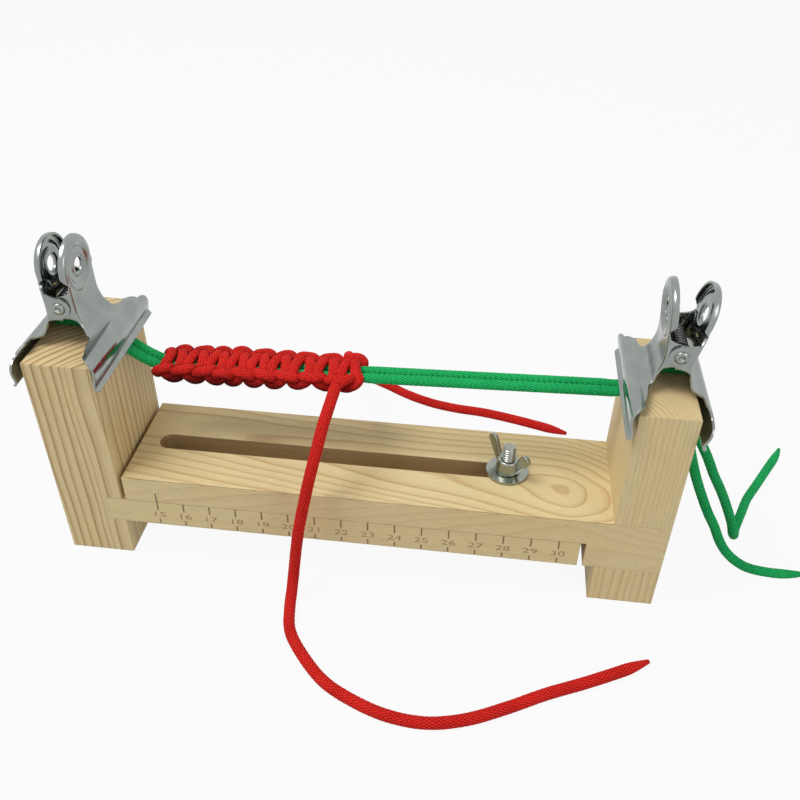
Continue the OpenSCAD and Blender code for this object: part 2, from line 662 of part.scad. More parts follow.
span_end_x = right_x0 - core_reach;
span_end_z = right_inner_z - core_dip;

module core_span() color("green") for (y = strand_y) {
    start = [weave_x1 + cord_clear, y, weave_z1];
    end = [span_end_x - cord_clear, y, span_end_z];
    cord([for (i = [0:8]) start + (end - start) * i / 8 - [0, 0, 0.4 * sin(i * 22.5)]], [0, 1, 0]);
}

module core_right() color("green") for (y = strand_y) strand(concat(
    [
        [[span_end_x, y, span_end_z], round_r, round_r],
        [[right_x0 - 0.56 * core_reach, y, span_end_z], round_r, 1.6],
        [[right_x0 - 0.22 * core_reach, y, span_end_z + 0.6], round_r, 1.1]
    ],
    over_post(right_x0, plank_x1, 1, y, right_inner_z, right_outer_z),
    [
        [[plank_x1 + 1.2, y, right_outer_z - 3.4], round_r, 0.9],
        [[plank_x1 + 1.9, y, right_outer_z - 4.8], round_r, 1.7],
        [[plank_x1 + 2, y, right_outer_z - 6.2], round_r, round_r]
    ]), [0, 1, 0]);

module green_tail_front() color("green") cord(green_front_route, [0, 1, 0]);
module green_tail_back() color("green") cord(green_back_route, [0, 1, 0]);
module red_tail_front() color("red") cord(red_front_route, [1, 0, 0]);
module red_tail_back() color("red") cord(red_back_route, [1, 0, 0]);

upper_plank();
right_post();
right_foot();
right_screws();
slider_plank();
left_post();
left_screws();
carriage_bolt();
flat_washer();
wing_nut();
left_clip_pin();
left_clip_spring();
left_clip_inner_jaw();
left_clip_outer_jaw();
right_clip_pin();
right_clip_spring();
right_clip_inner_jaw();
right_clip_outer_jaw();
weave();
core_left();
core_span();
core_right();
green_tail_front();
green_tail_back();
red_tail_front();
red_tail_back();
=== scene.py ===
# %% [markdown]
# # A cord braiding jig
#
# This file dresses a small wooden bench jig that holds cords while a bracelet is knotted. The solids come
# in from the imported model. Here they get their finishes, and the soft and finely bent parts are built
# again as what they are: one red cord tied in real knots, a doubled green core, clips folded from sheet
# steel and a bolt with a real thread. All measures are in millimetres until a mesh is made.

# %% Load the frame
import math

import bpy
import numpy as np
from mathutils import Matrix, Vector
from mathutils.geometry import delaunay_2d_cdt


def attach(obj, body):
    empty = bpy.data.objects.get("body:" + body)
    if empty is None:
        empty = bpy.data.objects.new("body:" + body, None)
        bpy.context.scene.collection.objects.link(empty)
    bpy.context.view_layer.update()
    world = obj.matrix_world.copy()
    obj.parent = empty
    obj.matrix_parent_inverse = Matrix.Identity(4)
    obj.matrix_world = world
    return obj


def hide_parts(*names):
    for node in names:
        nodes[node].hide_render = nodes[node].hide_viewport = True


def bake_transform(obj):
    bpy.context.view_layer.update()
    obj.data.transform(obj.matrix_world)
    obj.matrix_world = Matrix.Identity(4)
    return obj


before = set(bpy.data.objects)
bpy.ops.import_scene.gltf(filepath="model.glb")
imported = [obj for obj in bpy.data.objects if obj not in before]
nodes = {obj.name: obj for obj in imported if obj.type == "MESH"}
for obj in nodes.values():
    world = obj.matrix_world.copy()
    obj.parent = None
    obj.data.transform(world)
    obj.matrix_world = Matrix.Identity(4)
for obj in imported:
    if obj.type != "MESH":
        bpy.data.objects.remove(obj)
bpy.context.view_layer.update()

MM = 0.001

# %% [markdown]
# ## The camera
#
# The photograph looks down at the jig from in front and a little to the right of its middle. The place and
# the turn of the camera were worked out from the corners of the wood, whose sizes are known. A camera can be
# turned with angles, but three axis directions are safer here, because they can be copied exactly.

# %% Place the camera
CAMERA_AT = (41.65278, -249.13015, 260.11842)
CAMERA_RIGHT = (0.99260861, 0.12056108, 0.01389742)
CAMERA_UP = (-0.08414226, 0.60115766, 0.79468833)
CAMERA_BACK = (0.08745394, -0.78998386, 0.60685856)
FOCAL_PIXELS, PICTURE_PIXELS = 876.963, 800
SENSOR_WIDTH = 36
NEAREST, FARTHEST = 0.01, 20


def linked(name, data):
    """A new object in the scene."""
    thing = bpy.data.objects.new(name, data)
    bpy.context.scene.collection.objects.link(thing)
    return thing


camera_data = bpy.data.cameras.new("photo_camera")
camera_data.sensor_width = SENSOR_WIDTH
camera_data.lens = FOCAL_PIXELS / PICTURE_PIXELS * SENSOR_WIDTH
camera_data.clip_start, camera_data.clip_end = NEAREST, FARTHEST
camera = linked("photo_camera", camera_data)
camera_axes = Matrix((CAMERA_RIGHT, CAMERA_UP, CAMERA_BACK)).transposed()
camera.matrix_world = Matrix.Translation(Vector(CAMERA_AT) * MM) @ camera_axes.to_4x4()
bpy.context.scene.camera = camera
print("camera lens:", round(camera_data.lens, 2), "mm")

# %% [markdown]
# ## Lines that cords follow
#
# A cord needs a smooth centre line with points at even steps. A curve object could do it, but the knots are
# settled by a small simulation on plain arrays, so the lines stay arrays as well. Three helpers shape a line:
# one rounds it through key points, one spaces its points evenly, and one softens its corners.

# %% Helpers for lines
def rounded(keys, steps=10):
    """A smooth line through key points."""
    k = np.array(keys, float)
    k = np.vstack([2 * k[0] - k[1], k, 2 * k[-1] - k[-2]])
    t = np.linspace(0, 1, steps, endpoint=False)[:, None]
    spans = [
        0.5 * (2 * b + (c - a) * t + (2 * a - 5 * b + 4 * c - d) * t**2 + (3 * b - a - 3 * c + d) * t**3)
        for a, b, c, d in zip(k, k[1:], k[2:], k[3:])
    ]
    return np.vstack(spans + [k[-2:-1]])


def run_length(line):
    """Distance from the first point to each point."""
    return np.r_[0, np.cumsum(np.linalg.norm(np.diff(line[:, :3], axis=0), axis=1))]


def spaced(line, step):
    """The same line with its points at an even step. Columns beyond the third are carried along."""
    s = run_length(line)
    at = np.linspace(0, s[-1], max(int(round(s[-1] / step)), 2) + 1)
    return np.stack([np.interp(at, s, column) for column in line.T], 1)


def softened(line, passes):
    """The line with its corners eased, its two ends kept."""
    for _ in range(passes):
        line = np.vstack([line[:1], (line[:-2] + 2 * line[1:-1] + line[2:]) / 4, line[-1:]])
    return line


# %% [markdown]
# ## The red cord's knots
#
# The bracelet is the flat knot that every cord braider starts with: the two ends of one red cord cross over
# and under a green core, once from each side in turn. Where an end turns back it stands out as a loop, and
# the other end wraps over the bars beside it as a short lump. Modelling that by eye goes wrong quickly. So
# only the order of the crossings is written down, as rough key points, and the cord then pulls itself
# tight: it shortens, while each stretch pushes the others and the core away.

# %% Sizes of the knotted bar
BAR_START = np.array([-77.4, 6.0, 72.7])
BAR_LENGTH, BAR_RISE = 76.0, 1.8
# Where the near loops turn back, from the bar's left end.
GAPS = (7.8, 15.7, 23.9, 31.0, 39.0, 46.5, 55.1, 64.3, 72.6)
# Half the thickness of the red cord when free and when knotted, and of the green one.
CORD_R, KNOT_R, TAUT_R = 2.0, 1.85, 1.75
# How far to the side the knots reach, and over what distance the cord is free again.
KNOT_HALF_WIDTH, KNOT_FADE = 8.5, 4.0
# The share of its height that the pressed bar keeps, and the height of a cord's middle above the floor.
FLATTENED, LYING_Z = 0.8, 2.15
bar_tilt = math.atan2(BAR_RISE, BAR_LENGTH)
along_bar = np.array([math.cos(bar_tilt), 0, math.sin(bar_tilt)])
up_bar = np.array([-math.sin(bar_tilt), 0, math.cos(bar_tilt)])


def on_bar(points):
    """Points from the bar's own frame to the jig's."""
    p = np.array(points, float)
    return BAR_START + p[:, :1] * along_bar + p[:, 1:2] * [0, 1, 0] + p[:, 2:3] * up_bar


def from_bar(points):
    """Points from the jig's frame to the bar's own."""
    p = np.array(points, float) - BAR_START
    return np.stack([p @ along_bar, p[:, 1], p @ up_bar], 1)


print("loops a side:", len(GAPS))

# %% Routes of the free ends
RED_FRONT = [
    [-6, 1, 76], [-8, -5, 77], [-9, -12, 74], [-10.5, -19, 69], [-12, -25, 62], [-14, -29, 53],
    [-16, -31, 43], [-18, -33, 32], [-19.5, -34, 21], [-20.5, -35, 12], [-21, -38, 5], [-20.5, -45, 2],
    [-18, -55, 2], [-11, -65, 2], [-2, -74, 2], [9, -80, 2], [21, -84, 2], [34, -85, 2], [47, -82, 2],
    [60, -76, 2], [73, -69, 2], [86, -63, 2], [98, -57, 2], [109, -51, 2],
]
RED_BACK = [
    [-6, 11, 74], [-7, 18, 72], [-9, 27, 67], [-11, 37, 60], [-13, 48, 51], [-15, 59, 42], [-16, 70, 33],
    [-17, 81, 23], [-17, 91, 13], [-16, 98, 6], [-12, 102, 2], [-4, 98.5, 2], [8, 91.5, 2], [20, 86.5, 2],
    [32, 83.8, 2], [45, 82.4, 2], [58, 79.6, 2], [71, 76, 2], [84, 72, 2],
]
GREEN_FRONT = [
    [115, 4, 74], [116, 4, 68], [118, 4, 60], [121, 4, 51], [124, 3, 43], [128, 3, 34], [132, 2, 26],
    [136, 2, 19], [139, 1, 13], [143, 1, 7], [148, 0, 3], [153, -2, 2], [159, -3, 2], [166, -3, 2],
    [174, -2, 2],
]
GREEN_BACK = [
    [115, 8, 74], [117, 8, 68], [120, 8, 62], [124, 8, 55], [128, 8, 48], [132, 8, 40], [137, 9, 31],
    [141, 9, 23], [145, 10, 14], [147, 11, 8], [149, 14, 4], [151, 20, 2], [155, 29, 2], [159, 38, 2],
    [165, 48, 2], [171, 58, 2], [177, 68, 2], [180, 74, 2],
]
# The red routes' first point lies inside the knots, so the knots end at the second one.
KNOT_TO_TAIL = 1
front_end, back_end = from_bar([RED_FRONT[KNOT_TO_TAIL], RED_BACK[KNOT_TO_TAIL]])
print("points on the free ends:", [len(route) for route in (RED_FRONT, RED_BACK, GREEN_FRONT, GREEN_BACK)])

# %% Order of the crossings
# Steps beside a place on the bar, as (away from it, to the back, up). The end that passes over the core
# follows WRAP from each far turn, and the end that passes under it follows the two legs.
WRAP = [(2.8, 5.2, 1.0), (2.7, 3.5, 2.8), (1.7, 0.4, 3.1), (1.4, -2.8, 2.6)]
FIRST_WRAP = [(0.6, 5.2, 2.0), (1.2, 3.2, 3.0)] + WRAP[2:]
NEAR_SIDE, NEAR_TURN, FAR_TURN = [(1.9, -5.0, 0.4)], (-6.5, -1.8), (6.0, -1.8)
NEAR_LEG = [(1.0, -5.6, 0.8), (0.8, -4.4, -1.4), (1.2, -3.4, -3.0)]
FAR_LEG = [(1.2, 3.6, -3.0), (1.0, 4.8, -1.4), (1.6, 6.4, 0.0)]
NEAR_LUMP, FAR_LUMP, LAST_LUMP = (-7.1, 2.2), (7.9, 0.7), (6.9, 2.6)
UNDER_CORE = (0, -3.2)


def beside(x, side, steps):
    """Key points to the right (1) or to the left (-1) of a place along the bar."""
    return [(x + side * dx, y, z) for dx, y, z in steps]


def crossings():
    """Key points of both ends, from the bar's left end, where the cord's middle lies behind the core."""
    fars = [GAPS[0] - 4.1] + [(a + b) / 2 for a, b in zip(GAPS, GAPS[1:])] + [GAPS[-1] + 3.6]
    over = beside(fars[0], -1, [(1.2, *UNDER_CORE), (1.4, 4.2, -2.6), (1.0, 6.2, 0.3)])
    under = beside(fars[0], -1, [(1.2, *UNDER_CORE), (1.4, -4.2, -2.8), (2.0, -6.6, -0.6), (1.4, -6.9, 1.4)])
    for gap, far, next_far in zip(GAPS, fars, fars[1:]):
        first, last = gap == GAPS[0], gap == GAPS[-1]
        over += beside(far, 1, FIRST_WRAP if first else WRAP)
        over += beside(gap, -1, NEAR_SIDE) + [(gap, *NEAR_TURN)] + beside(gap, 1, NEAR_SIDE)
        over += beside(next_far, -1, WRAP[::-1])
        over += [] if last else [(next_far, *FAR_TURN)]
        under += [(far + dx, *NEAR_LUMP) for dx in ((0.8, 2.2) if first else (-1.5, 1.5))]
        under += beside(gap, -1, NEAR_LEG) + [((far + gap) / 2, *UNDER_CORE)] + beside(far, 1, FAR_LEG)
        under += [(gap + dx, *(LAST_LUMP if last else FAR_LUMP)) for dx in (-1.4, 1.4)]
        under += beside(next_far, -1, FAR_LEG[::-1]) + [((gap + next_far) / 2, *UNDER_CORE)]
        under += beside(gap, 1, NEAR_LEG[::-1])
    over += [(next_far - 1.0, 6.8, -0.6), (next_far - 2.6, 9.2, -1.8), tuple(back_end)]
    under += [(gap + 0.6, -7.0, 3.6), tuple(front_end)]
    return over, under


over_keys, under_keys = crossings()
print("key points over and under:", len(over_keys), len(under_keys))

# %% Pull the knots tight
CORE_SPREAD = 1.9
HOLD = np.array([0.14, 0.08, 0.08])
LOOK_AGAIN = 8


def pull_tight(line, thickness=2.8, core_r=1.5, rounds=120, step=1.0, shrink=0.25):
    """The cord after it has shortened, kept a thickness away from itself and out of the two core strands.
    A weak pull towards the first line keeps the knots evenly spaced along the bar."""
    first = np.c_[line, np.arange(len(line))]
    cord = spaced(first, step)
    apart = int(np.ceil(thickness / step)) + 1
    reach = core_r + thickness / 2
    for turn_no in range(rounds):
        p = cord[:, :3]
        if turn_no % LOOK_AGAIN == 0:
            distance = np.sqrt(((p[:, None] - p[None]) ** 2).sum(-1))
            i, j = np.where(distance < thickness + 1)
            i, j = i[j - i > apart], j[j - i > apart]
        ends = p[[0, 1, -2, -1]].copy()
        home = np.stack([np.interp(cord[:, 3], first[:, 3], first[:, k]) for k in range(3)], 1)
        bend = np.zeros_like(p)
        bend[1:-1] = (p[:-2] + p[2:]) / 2 - p[1:-1]
        p = p + shrink * bend + HOLD * (home - p)
        for _ in range(3):
            across = p[i] - p[j]
            gap = np.linalg.norm(across, axis=1) + 1e-9
            push = np.maximum(thickness - gap, 0) * 0.5 / gap
            hits = np.bincount(i, push > 0, len(p)) + np.bincount(j, push > 0, len(p))
            move = [np.bincount(i, a * push, len(p)) - np.bincount(j, a * push, len(p)) for a in across.T]
            p = p + np.stack(move, 1) / np.maximum(hits, 1)[:, None]
            for y in (-CORE_SPREAD, CORE_SPREAD):
                away = p[:, 1:] - [y, 0]
                gap = np.linalg.norm(away, axis=1)
                near = gap < reach
                p[near, 1:] += away[near] / gap[near][:, None] * (reach - gap[near])[:, None]
        p[[0, 1, -2, -1]] = ends
        cord[:, :3] = p
        if turn_no % LOOK_AGAIN == LOOK_AGAIN - 1:
            cord = spaced(cord, step)
    return cord[:, :3]


knots = pull_tight(np.vstack([rounded(under_keys)[::-1], rounded(over_keys)[1:]]))
print("cord in the knots:", round(run_length(knots)[-1]), "mm")

# %% [markdown]
# ## One red cord from end to end
#
# The two free ends belong to the same cord as the knots, so all three stretches are laid on one line before
# any mesh is made. The braid pattern then runs on across the places where the pieces meet.

# %% Join the red cord's stretches
STEP = 0.5
red_front, red_back = rounded(RED_FRONT[KNOT_TO_TAIL:]), rounded(RED_BACK[KNOT_TO_TAIL:])
red_line = np.vstack([red_front[::-1], on_bar(rounded(knots, 3))[1:-1], red_back])
red_line = softened(spaced(red_line, STEP), 3)
red_line[:, 2] = np.maximum(red_line[:, 2], LYING_Z)
in_bar = from_bar(red_line)
clear_of_knots = np.maximum(np.abs(in_bar[:, 1]) - KNOT_HALF_WIDTH, -in_bar[:, 0] - KNOT_FADE) / KNOT_FADE
red_tight = 1 - np.clip(clear_of_knots, 0, 1)
red_radius = CORD_R + (KNOT_R - CORD_R) * red_tight
red_line = np.c_[red_line, red_radius, red_radius]


def nearest(line, place):
    """Number of the line's point that lies nearest to a place."""
    return int(np.argmin(np.linalg.norm(line[:, :3] - place, axis=1)))


red_cuts = [nearest(red_line, route[KNOT_TO_TAIL]) for route in (RED_FRONT, RED_BACK)]
print("red cord:", round(run_length(red_line)[-1]), "mm, cut at", red_cuts)

# %% [markdown]
# ## One green cord, doubled
#
# The core is a single green cord folded in half. Its fold hangs below the left clip's outer jaw, its two
# halves lie side by side through the knots and over both posts, and its ends hang free on the right. Under
# the jaws a soft cord is pressed nearly flat, so each point carries a half width and a half thickness.

# %% Over the edges of a post
POST_TOP = 88.1
LEFT_POST, RIGHT_POST = (-113.0, -88.4), (93.3, 113.0)
CORE_Y = (3.8, 8.2)
GRIP_Z = {"left_inner": 82.659, "left_outer": 81.952, "right_inner": 81.865, "right_outer": 80.125}
SQUEEZED, LAID = 0.425, 1.5
WIDE = CORD_R + 0.1
TIGHT_TO_POST = SQUEEZED + 0.05
SPAN_END_X = RIGHT_POST[0] - 9


def over_edge(x, onto, y, lip_z):
    """Stations of one strand from below a jaw's lip up onto the post, which lies in the direction onto."""
    top = POST_TOP + 0.1
    steps = [(-TIGHT_TO_POST, lip_z - 1.6, SQUEEZED), (-TIGHT_TO_POST, lip_z + 2, SQUEEZED),
             (-TIGHT_TO_POST, top - 1.4, SQUEEZED), (-0.35, top + 0.5, SQUEEZED),
             (1.2, top + SQUEEZED + 0.6, SQUEEZED + 0.3), (4, top + LAID, LAID)]
    return [(x + onto * dx, y, z, WIDE, half_t) for dx, z, half_t in steps]


def over_post(inner, outer, out, y, side):
    """Stations of one strand over a post, from its inner jaw's lip to its outer one's."""
    up_inside = over_edge(inner, out, y, GRIP_Z[side + "_inner"])
    return up_inside + over_edge(outer, -out, y, GRIP_Z[side + "_outer"])[::-1]


# %% Lay out the green cord
def left_half(y):
    """From the knots over the left post."""
    bar_z, lip_z, post = BAR_START[2], GRIP_Z["left_inner"], LEFT_POST[1]
    return [
        (BAR_START[0] + 1, y, bar_z, TAUT_R, TAUT_R),
        (post + 7.5, y, (bar_z + lip_z) / 2 - 2.7, TAUT_R, TAUT_R),
        (post + 4, y, lip_z - 5.4, TAUT_R, 1.7),
        (post + 1.9, y, lip_z - 3.6, CORD_R, 1.4),
    ] + over_post(post, LEFT_POST[0], -1, y, "left")


def right_half(y):
    """From the knots over the right post and out under its outer lip."""
    low, lip, (inner, outer) = GRIP_Z["right_inner"] - 4.4, GRIP_Z["right_outer"], RIGHT_POST
    return [
        (BAR_START[0] + BAR_LENGTH + 4, y, BAR_START[2] + BAR_RISE, TAUT_R, TAUT_R),
        (SPAN_END_X, y, low, TAUT_R, TAUT_R),
        (inner - 5, y, low, TAUT_R, 1.6),
        (inner - 2, y, low + 0.6, CORD_R, 1.1),
    ] + over_post(inner, outer, 1, y, "right") + [
        (outer + 1.2, y, lip - 3.4, CORD_R, 0.9),
        (outer + 1.9, y, lip - 4.8, TAUT_R, 1.5),
        (outer + 2, y, lip - 6.2, TAUT_R, TAUT_R),
    ]


def through_knots(y):
    """From the bar's right end to its left one."""
    bar = on_bar([(x, y - BAR_START[1], 0) for x in np.linspace(BAR_LENGTH, 2, 12)])
    return [(*p, 1.7, 1.3) for p in bar]


def hanging(route):
    """A free end as stations of round cord."""
    return [(*p, TAUT_R, TAUT_R) for p in rounded(route)[1:]]


fold = [
    (LEFT_POST[0] - TIGHT_TO_POST, BAR_START[1] - 2.2 * math.cos(a),
     GRIP_Z["left_outer"] - 4.4 - 2.4 * math.sin(a), CORD_R, SQUEEZED)
    for a in np.radians([0, 45, 90, 135, 180])
]
front_y, back_y = CORE_Y
front_half = (hanging(GREEN_FRONT)[::-1] + right_half(front_y)[::-1] + through_knots(front_y)
              + left_half(front_y))
back_half = left_half(back_y)[::-1] + through_knots(back_y)[::-1] + right_half(back_y) + hanging(GREEN_BACK)
green_line = softened(spaced(np.array(front_half + fold + back_half), STEP), 5)
green_line[:, 2] = np.maximum(green_line[:, 2], LYING_Z)
print("green cord:", round(run_length(green_line)[-1]), "mm")

# %% [markdown]
# ## From a line to a braided cord
#
# The sheath of such a cord is braided from flat bundles of fibre that spiral round it both ways, each passing
# over one and under one. A smooth tube with a picture of that would look flat close up, so the tube's own
# surface rises and falls with the bundles. Its UV map counts millimetres along and turns around, and the
# material reads it to draw the fibres in each bundle.

# %% Helpers for meshes
def new_piece(name, points, faces, uvs=None):
    """A smooth shaded mesh piece from points in millimetres."""
    mesh = bpy.data.meshes.new(name)
    mesh.from_pydata((np.asarray(points) * MM).tolist(), [], faces)
    if uvs is not None:
        layer = mesh.uv_layers.new(name="along_cord")
        layer.data.foreach_set("uv", np.asarray(uvs, np.float32).ravel())
    mesh.shade_smooth()
    mesh.update()
    return linked(name, mesh)


def tube_faces(rows, sides, ring=False):
    """Faces between rows of points that run round a tube, and its two end faces. A ring has no ends: its
    last row joins its first."""
    spans = [(i, (i + 1) % rows) for i in range(rows if ring else rows - 1)]
    faces = [[i * sides + k, i * sides + (k + 1) % sides, j * sides + (k + 1) % sides, j * sides + k]
             for i, j in spans for k in range(sides)]
    ends = [list(range(sides))[::-1], [(rows - 1) * sides + k for k in range(sides)]]
    return faces if ring else faces + ends


def joined(parts):
    """Several bodies, each with its points and faces, as one."""
    points, faces = [], []
    for part_points, part_faces in parts:
        faces += [[len(points) + i for i in face] for face in part_faces]
        points += list(part_points)
    return points, faces


def sides_along(line):
    """Two side directions at each point of a line, carried along it without twist."""
    t = np.gradient(line[:, :3], axis=0)
    t /= np.linalg.norm(t, axis=1)[:, None]
    u = np.zeros_like(t)
    side = np.array([0.0, 1.0, 0.0])
    for i, direction in enumerate(t):
        side = side - (side @ direction) * direction
        side /= np.linalg.norm(side)
        u[i] = side
    return u, np.cross(t, u)


# %% The braided surface
BUNDLES, BUNDLE_PITCH = 12, 0.95
SIDES = 48
RELIEF = 0.14
# How many rings a sealed end tapers over, and how thin it ends.
DRAWN_OUT, DRAWN_THIN = 22, 0.35


def braid_height(along, around):
    """Height of the sheath from -1 to 1: one bundle arches over the next, then dips under one."""
    a = around * BUNDLES + along / BUNDLE_PITCH / 2
    b = around * BUNDLES - along / BUNDLE_PITCH / 2
    first_on_top = np.mod(np.floor(a) + np.floor(b), 2) < 1
    return np.abs(np.sin(np.pi * np.where(first_on_top, a, b))) * 2 - 1


def braided(line):
    """What the pieces cut from one cord share: its rings of points, and its run in millimetres."""
    u, v = sides_along(line)
    along = run_length(line)
    around = np.arange(SIDES) / SIDES
    angle = 2 * np.pi * around
    lift = RELIEF * braid_height(along[:, None], around[None])
    wide = ((line[:, 3:4] + lift) * np.cos(angle))[..., None] * u[:, None]
    thick = ((line[:, 4:5] + lift) * np.sin(angle))[..., None] * v[:, None]
    return line[:, None, :3] + wide + thick, along


def cord_piece(name, cord, cuts, sealed=()):
    """A piece made of the stretches of one cord between pairs of cuts. sealed names the ends, 0 or -1, that
    were melted and drawn out to stop them fraying, which leaves them thin."""
    parts, uvs = [], []
    for first, last in cuts:
        rings, run = cord[0][first:last + 1].copy(), cord[1][first:last + 1]
        for end in sealed:
            for k in range(DRAWN_OUT):
                row = k if end == 0 else -1 - k
                slim = DRAWN_THIN + (1 - DRAWN_THIN) * math.sin(math.pi / 2 * k / DRAWN_OUT)
                rings[row] = rings[row].mean(0) + (rings[row] - rings[row].mean(0)) * slim
        parts.append((rings.reshape(-1, 3), tube_faces(len(rings), SIDES)))
        i, k = (grid.ravel() for grid in np.mgrid[:len(rings) - 1, :SIDES])
        u0, u1, v0, v1 = run[i], run[i + 1], k / SIDES, (k + 1) / SIDES
        uvs.append(np.stack([u0, v0, u0, v1, u1, v1, u1, v0], 1).reshape(-1, 2))
        uvs += [np.tile([[run[end], 0.0]], (SIDES, 1)) for end in (0, -1)]
    return new_piece(name, *joined(parts), np.vstack(uvs))


red_rings, red_run = braided(red_line)
above_core = (red_rings - BAR_START) @ up_bar
pressed = above_core * (FLATTENED - 1) * red_tight[:, None]
red_cord = (red_rings + pressed[..., None] * up_bar, red_run)
green_cord = braided(green_line)
print("rings on the red and the green cord:", len(red_line), len(green_line))

# %% [markdown]
# ## A short way to write materials
#
# Every finish below is built from shader nodes. Blender has no formula node, so a pattern soon takes dozens
# of math nodes. Two small classes keep that readable. `Value` stands for what a node gives out, and a sum or
# product of values makes the math node for it. `Nodes` adds the other nodes, and sets or joins their inputs.

# %% Material helpers
def between(operation):
    """The method that a sign between two values stands for."""
    return lambda value, other: value.tree.math(operation, value, other)


class Value:
    """What a node gives out, to be worked with like a number."""

    __add__, __sub__, __mul__ = between("ADD"), between("SUBTRACT"), between("MULTIPLY")
    __truediv__, __mod__, __pow__ = between("DIVIDE"), between("FLOORED_MODULO"), between("POWER")
    __lt__, __gt__ = between("LESS_THAN"), between("GREATER_THAN")

    def __init__(self, tree, socket):
        self.tree, self.socket = tree, socket

    def __rsub__(self, other):
        return self.tree.math("SUBTRACT", other, self)

    def __abs__(self):
        return self.tree.math("ABSOLUTE", self)

    def clipped(self):
        """The last sum or product, kept between 0 and 1."""
        self.socket.node.use_clamp = True
        return self


class Nodes:
    """A node tree that starts empty."""

    def __init__(self, tree):
        self.tree = tree
        tree.nodes.clear()

    def set(self, socket, value):
        """Sets an input to a number or a colour, or joins it to what a node gives out."""
        if isinstance(value, Value):
            value = value.socket
        if isinstance(value, bpy.types.NodeSocket):
            self.tree.links.new(value, socket)
        elif hasattr(value, "__len__") and socket.type == "RGBA":
            socket.default_value = (*value, 1)
        else:
            socket.default_value = value

    def give(self, node, **named):
        """Sets inputs by name, with _ for a blank."""
        for key, value in named.items():
            self.set(node.inputs[key.replace("_", " ")], value)

    def add(self, kind, *inputs, **named):
        """A new node. A name that the node has as a setting is set, and any other is an input."""
        node = self.tree.nodes.new("ShaderNode" + kind)
        for key in [k for k in named if hasattr(node, k)]:
            setattr(node, key, named.pop(key))
        for i, value in enumerate(inputs):
            self.set(node.inputs[i], value)
        self.give(node, **named)
        return node

    def read(self, kind, *inputs, out=0, **named):
        """One output of a new node."""
        return Value(self, self.add(kind, *inputs, **named).outputs[out])

    def math(self, operation, *numbers):
        """The result of a sum, product or other calculation."""
        return self.read("Math", *numbers, operation=operation)

    def vector(self, operation, *vectors, out=0):
        return self.read("VectorMath", *vectors, out=out, operation=operation)

    def axes(self, point):
        """A point's x, y and z, or a colour's red, green and blue."""
        return [Value(self, axis) for axis in self.add("SeparateXYZ", point).outputs]

    def noise(self, at, scale, detail=2.0, roughness=0.5, out=0):
        return self.read("TexNoise", out=out, Vector=at, Scale=scale, Detail=detail, Roughness=roughness)

    def ramp(self, factor, stops):
        """A run of colours or greys. Stops are (place, colour) pairs."""
        node = self.add("ValToRGB", factor)
        band = node.color_ramp
        while len(band.elements) < len(stops):
            band.elements.new(0.5)
        for element, (place, tint) in zip(band.elements, stops):
            element.position = place
            element.color = (*tint, 1) if hasattr(tint, "__len__") else (tint, tint, tint, 1)
        return Value(self, node.outputs[0])

    def mix(self, factor, a, b):
        node = self.add("Mix", data_type="RGBA")
        sockets = {socket.identifier: socket for socket in node.inputs}
        for key, value in (("Factor_Float", factor), ("A_Color", a), ("B_Color", b)):
            self.set(sockets[key], value)
        return Value(self, next(socket for socket in node.outputs if socket.identifier == "Result_Color"))

    def bump(self, height, distance, strength=1.0, **normal):
        """The surface's direction when it rises and falls by a distance in metres."""
        return self.read("Bump", Strength=strength, Distance=distance, Height=height, **normal)


# %% Finishes and where they go
class Finish(Nodes):
    """One material, with its shader and output in place."""

    def __init__(self, name, roughness, metallic=0.0):
        self.material = bpy.data.materials.new(name)
        self.material.use_nodes = True
        super().__init__(self.material.node_tree)
        self.shader = self.add("BsdfPrincipled", Roughness=roughness, Metallic=metallic)
        self.end = self.add("OutputMaterial", self.shader.outputs[0])
        self.at = self.read("TexCoord", out="Object")


def colour(red, green, blue):
    """A colour as it looks on screen, 0 to 255, as the linear numbers that a shader takes."""
    def linear(x):
        x /= 255
        return x / 12.92 if x <= 0.04045 else ((x + 0.055) / 1.055) ** 2.4
    return (linear(red), linear(green), linear(blue))


def toned(tint, *shares):
    """A colour with its red, green and blue cut to shares of what they were, or all three to one share."""
    return tuple(c * share for c, share in zip(tint, shares * 3 if len(shares) == 1 else shares))


def wear(piece, finish):
    """Gives a piece or a solid its finish, in the slots that it already has."""
    if len(piece.material_slots):
        for place in piece.material_slots:
            place.material = finish.material
    else:
        piece.data.materials.append(finish.material)


def seat(piece, finish, body=None, node=None):
    """Gives a piece its finish and its slot and the body that it moves with, and hides the solid that it
    stands for.
    """
    wear(piece, finish)
    if node:
        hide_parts(node)
    if body:
        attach(piece, body)
    return piece


print("material helpers ready")

# %% [markdown]
# ## The cords' finish
#
# Each fibre bundle gets painted highlights, fine bright lines along its length, and the hollows between
# bundles get painted shade. Both come from the UV map: two sets of slanting lines, one for each direction
# of the braid, chosen by the same over one and under one rule as the surface. Polyester yarn in such strong
# colours has hardly any shine of its own, so the shader's gloss is turned well down. The knotted bar also
# gets painted shade towards its underside, where little light gets in between the wraps.

# %% Cord finish
FIBRES = 8


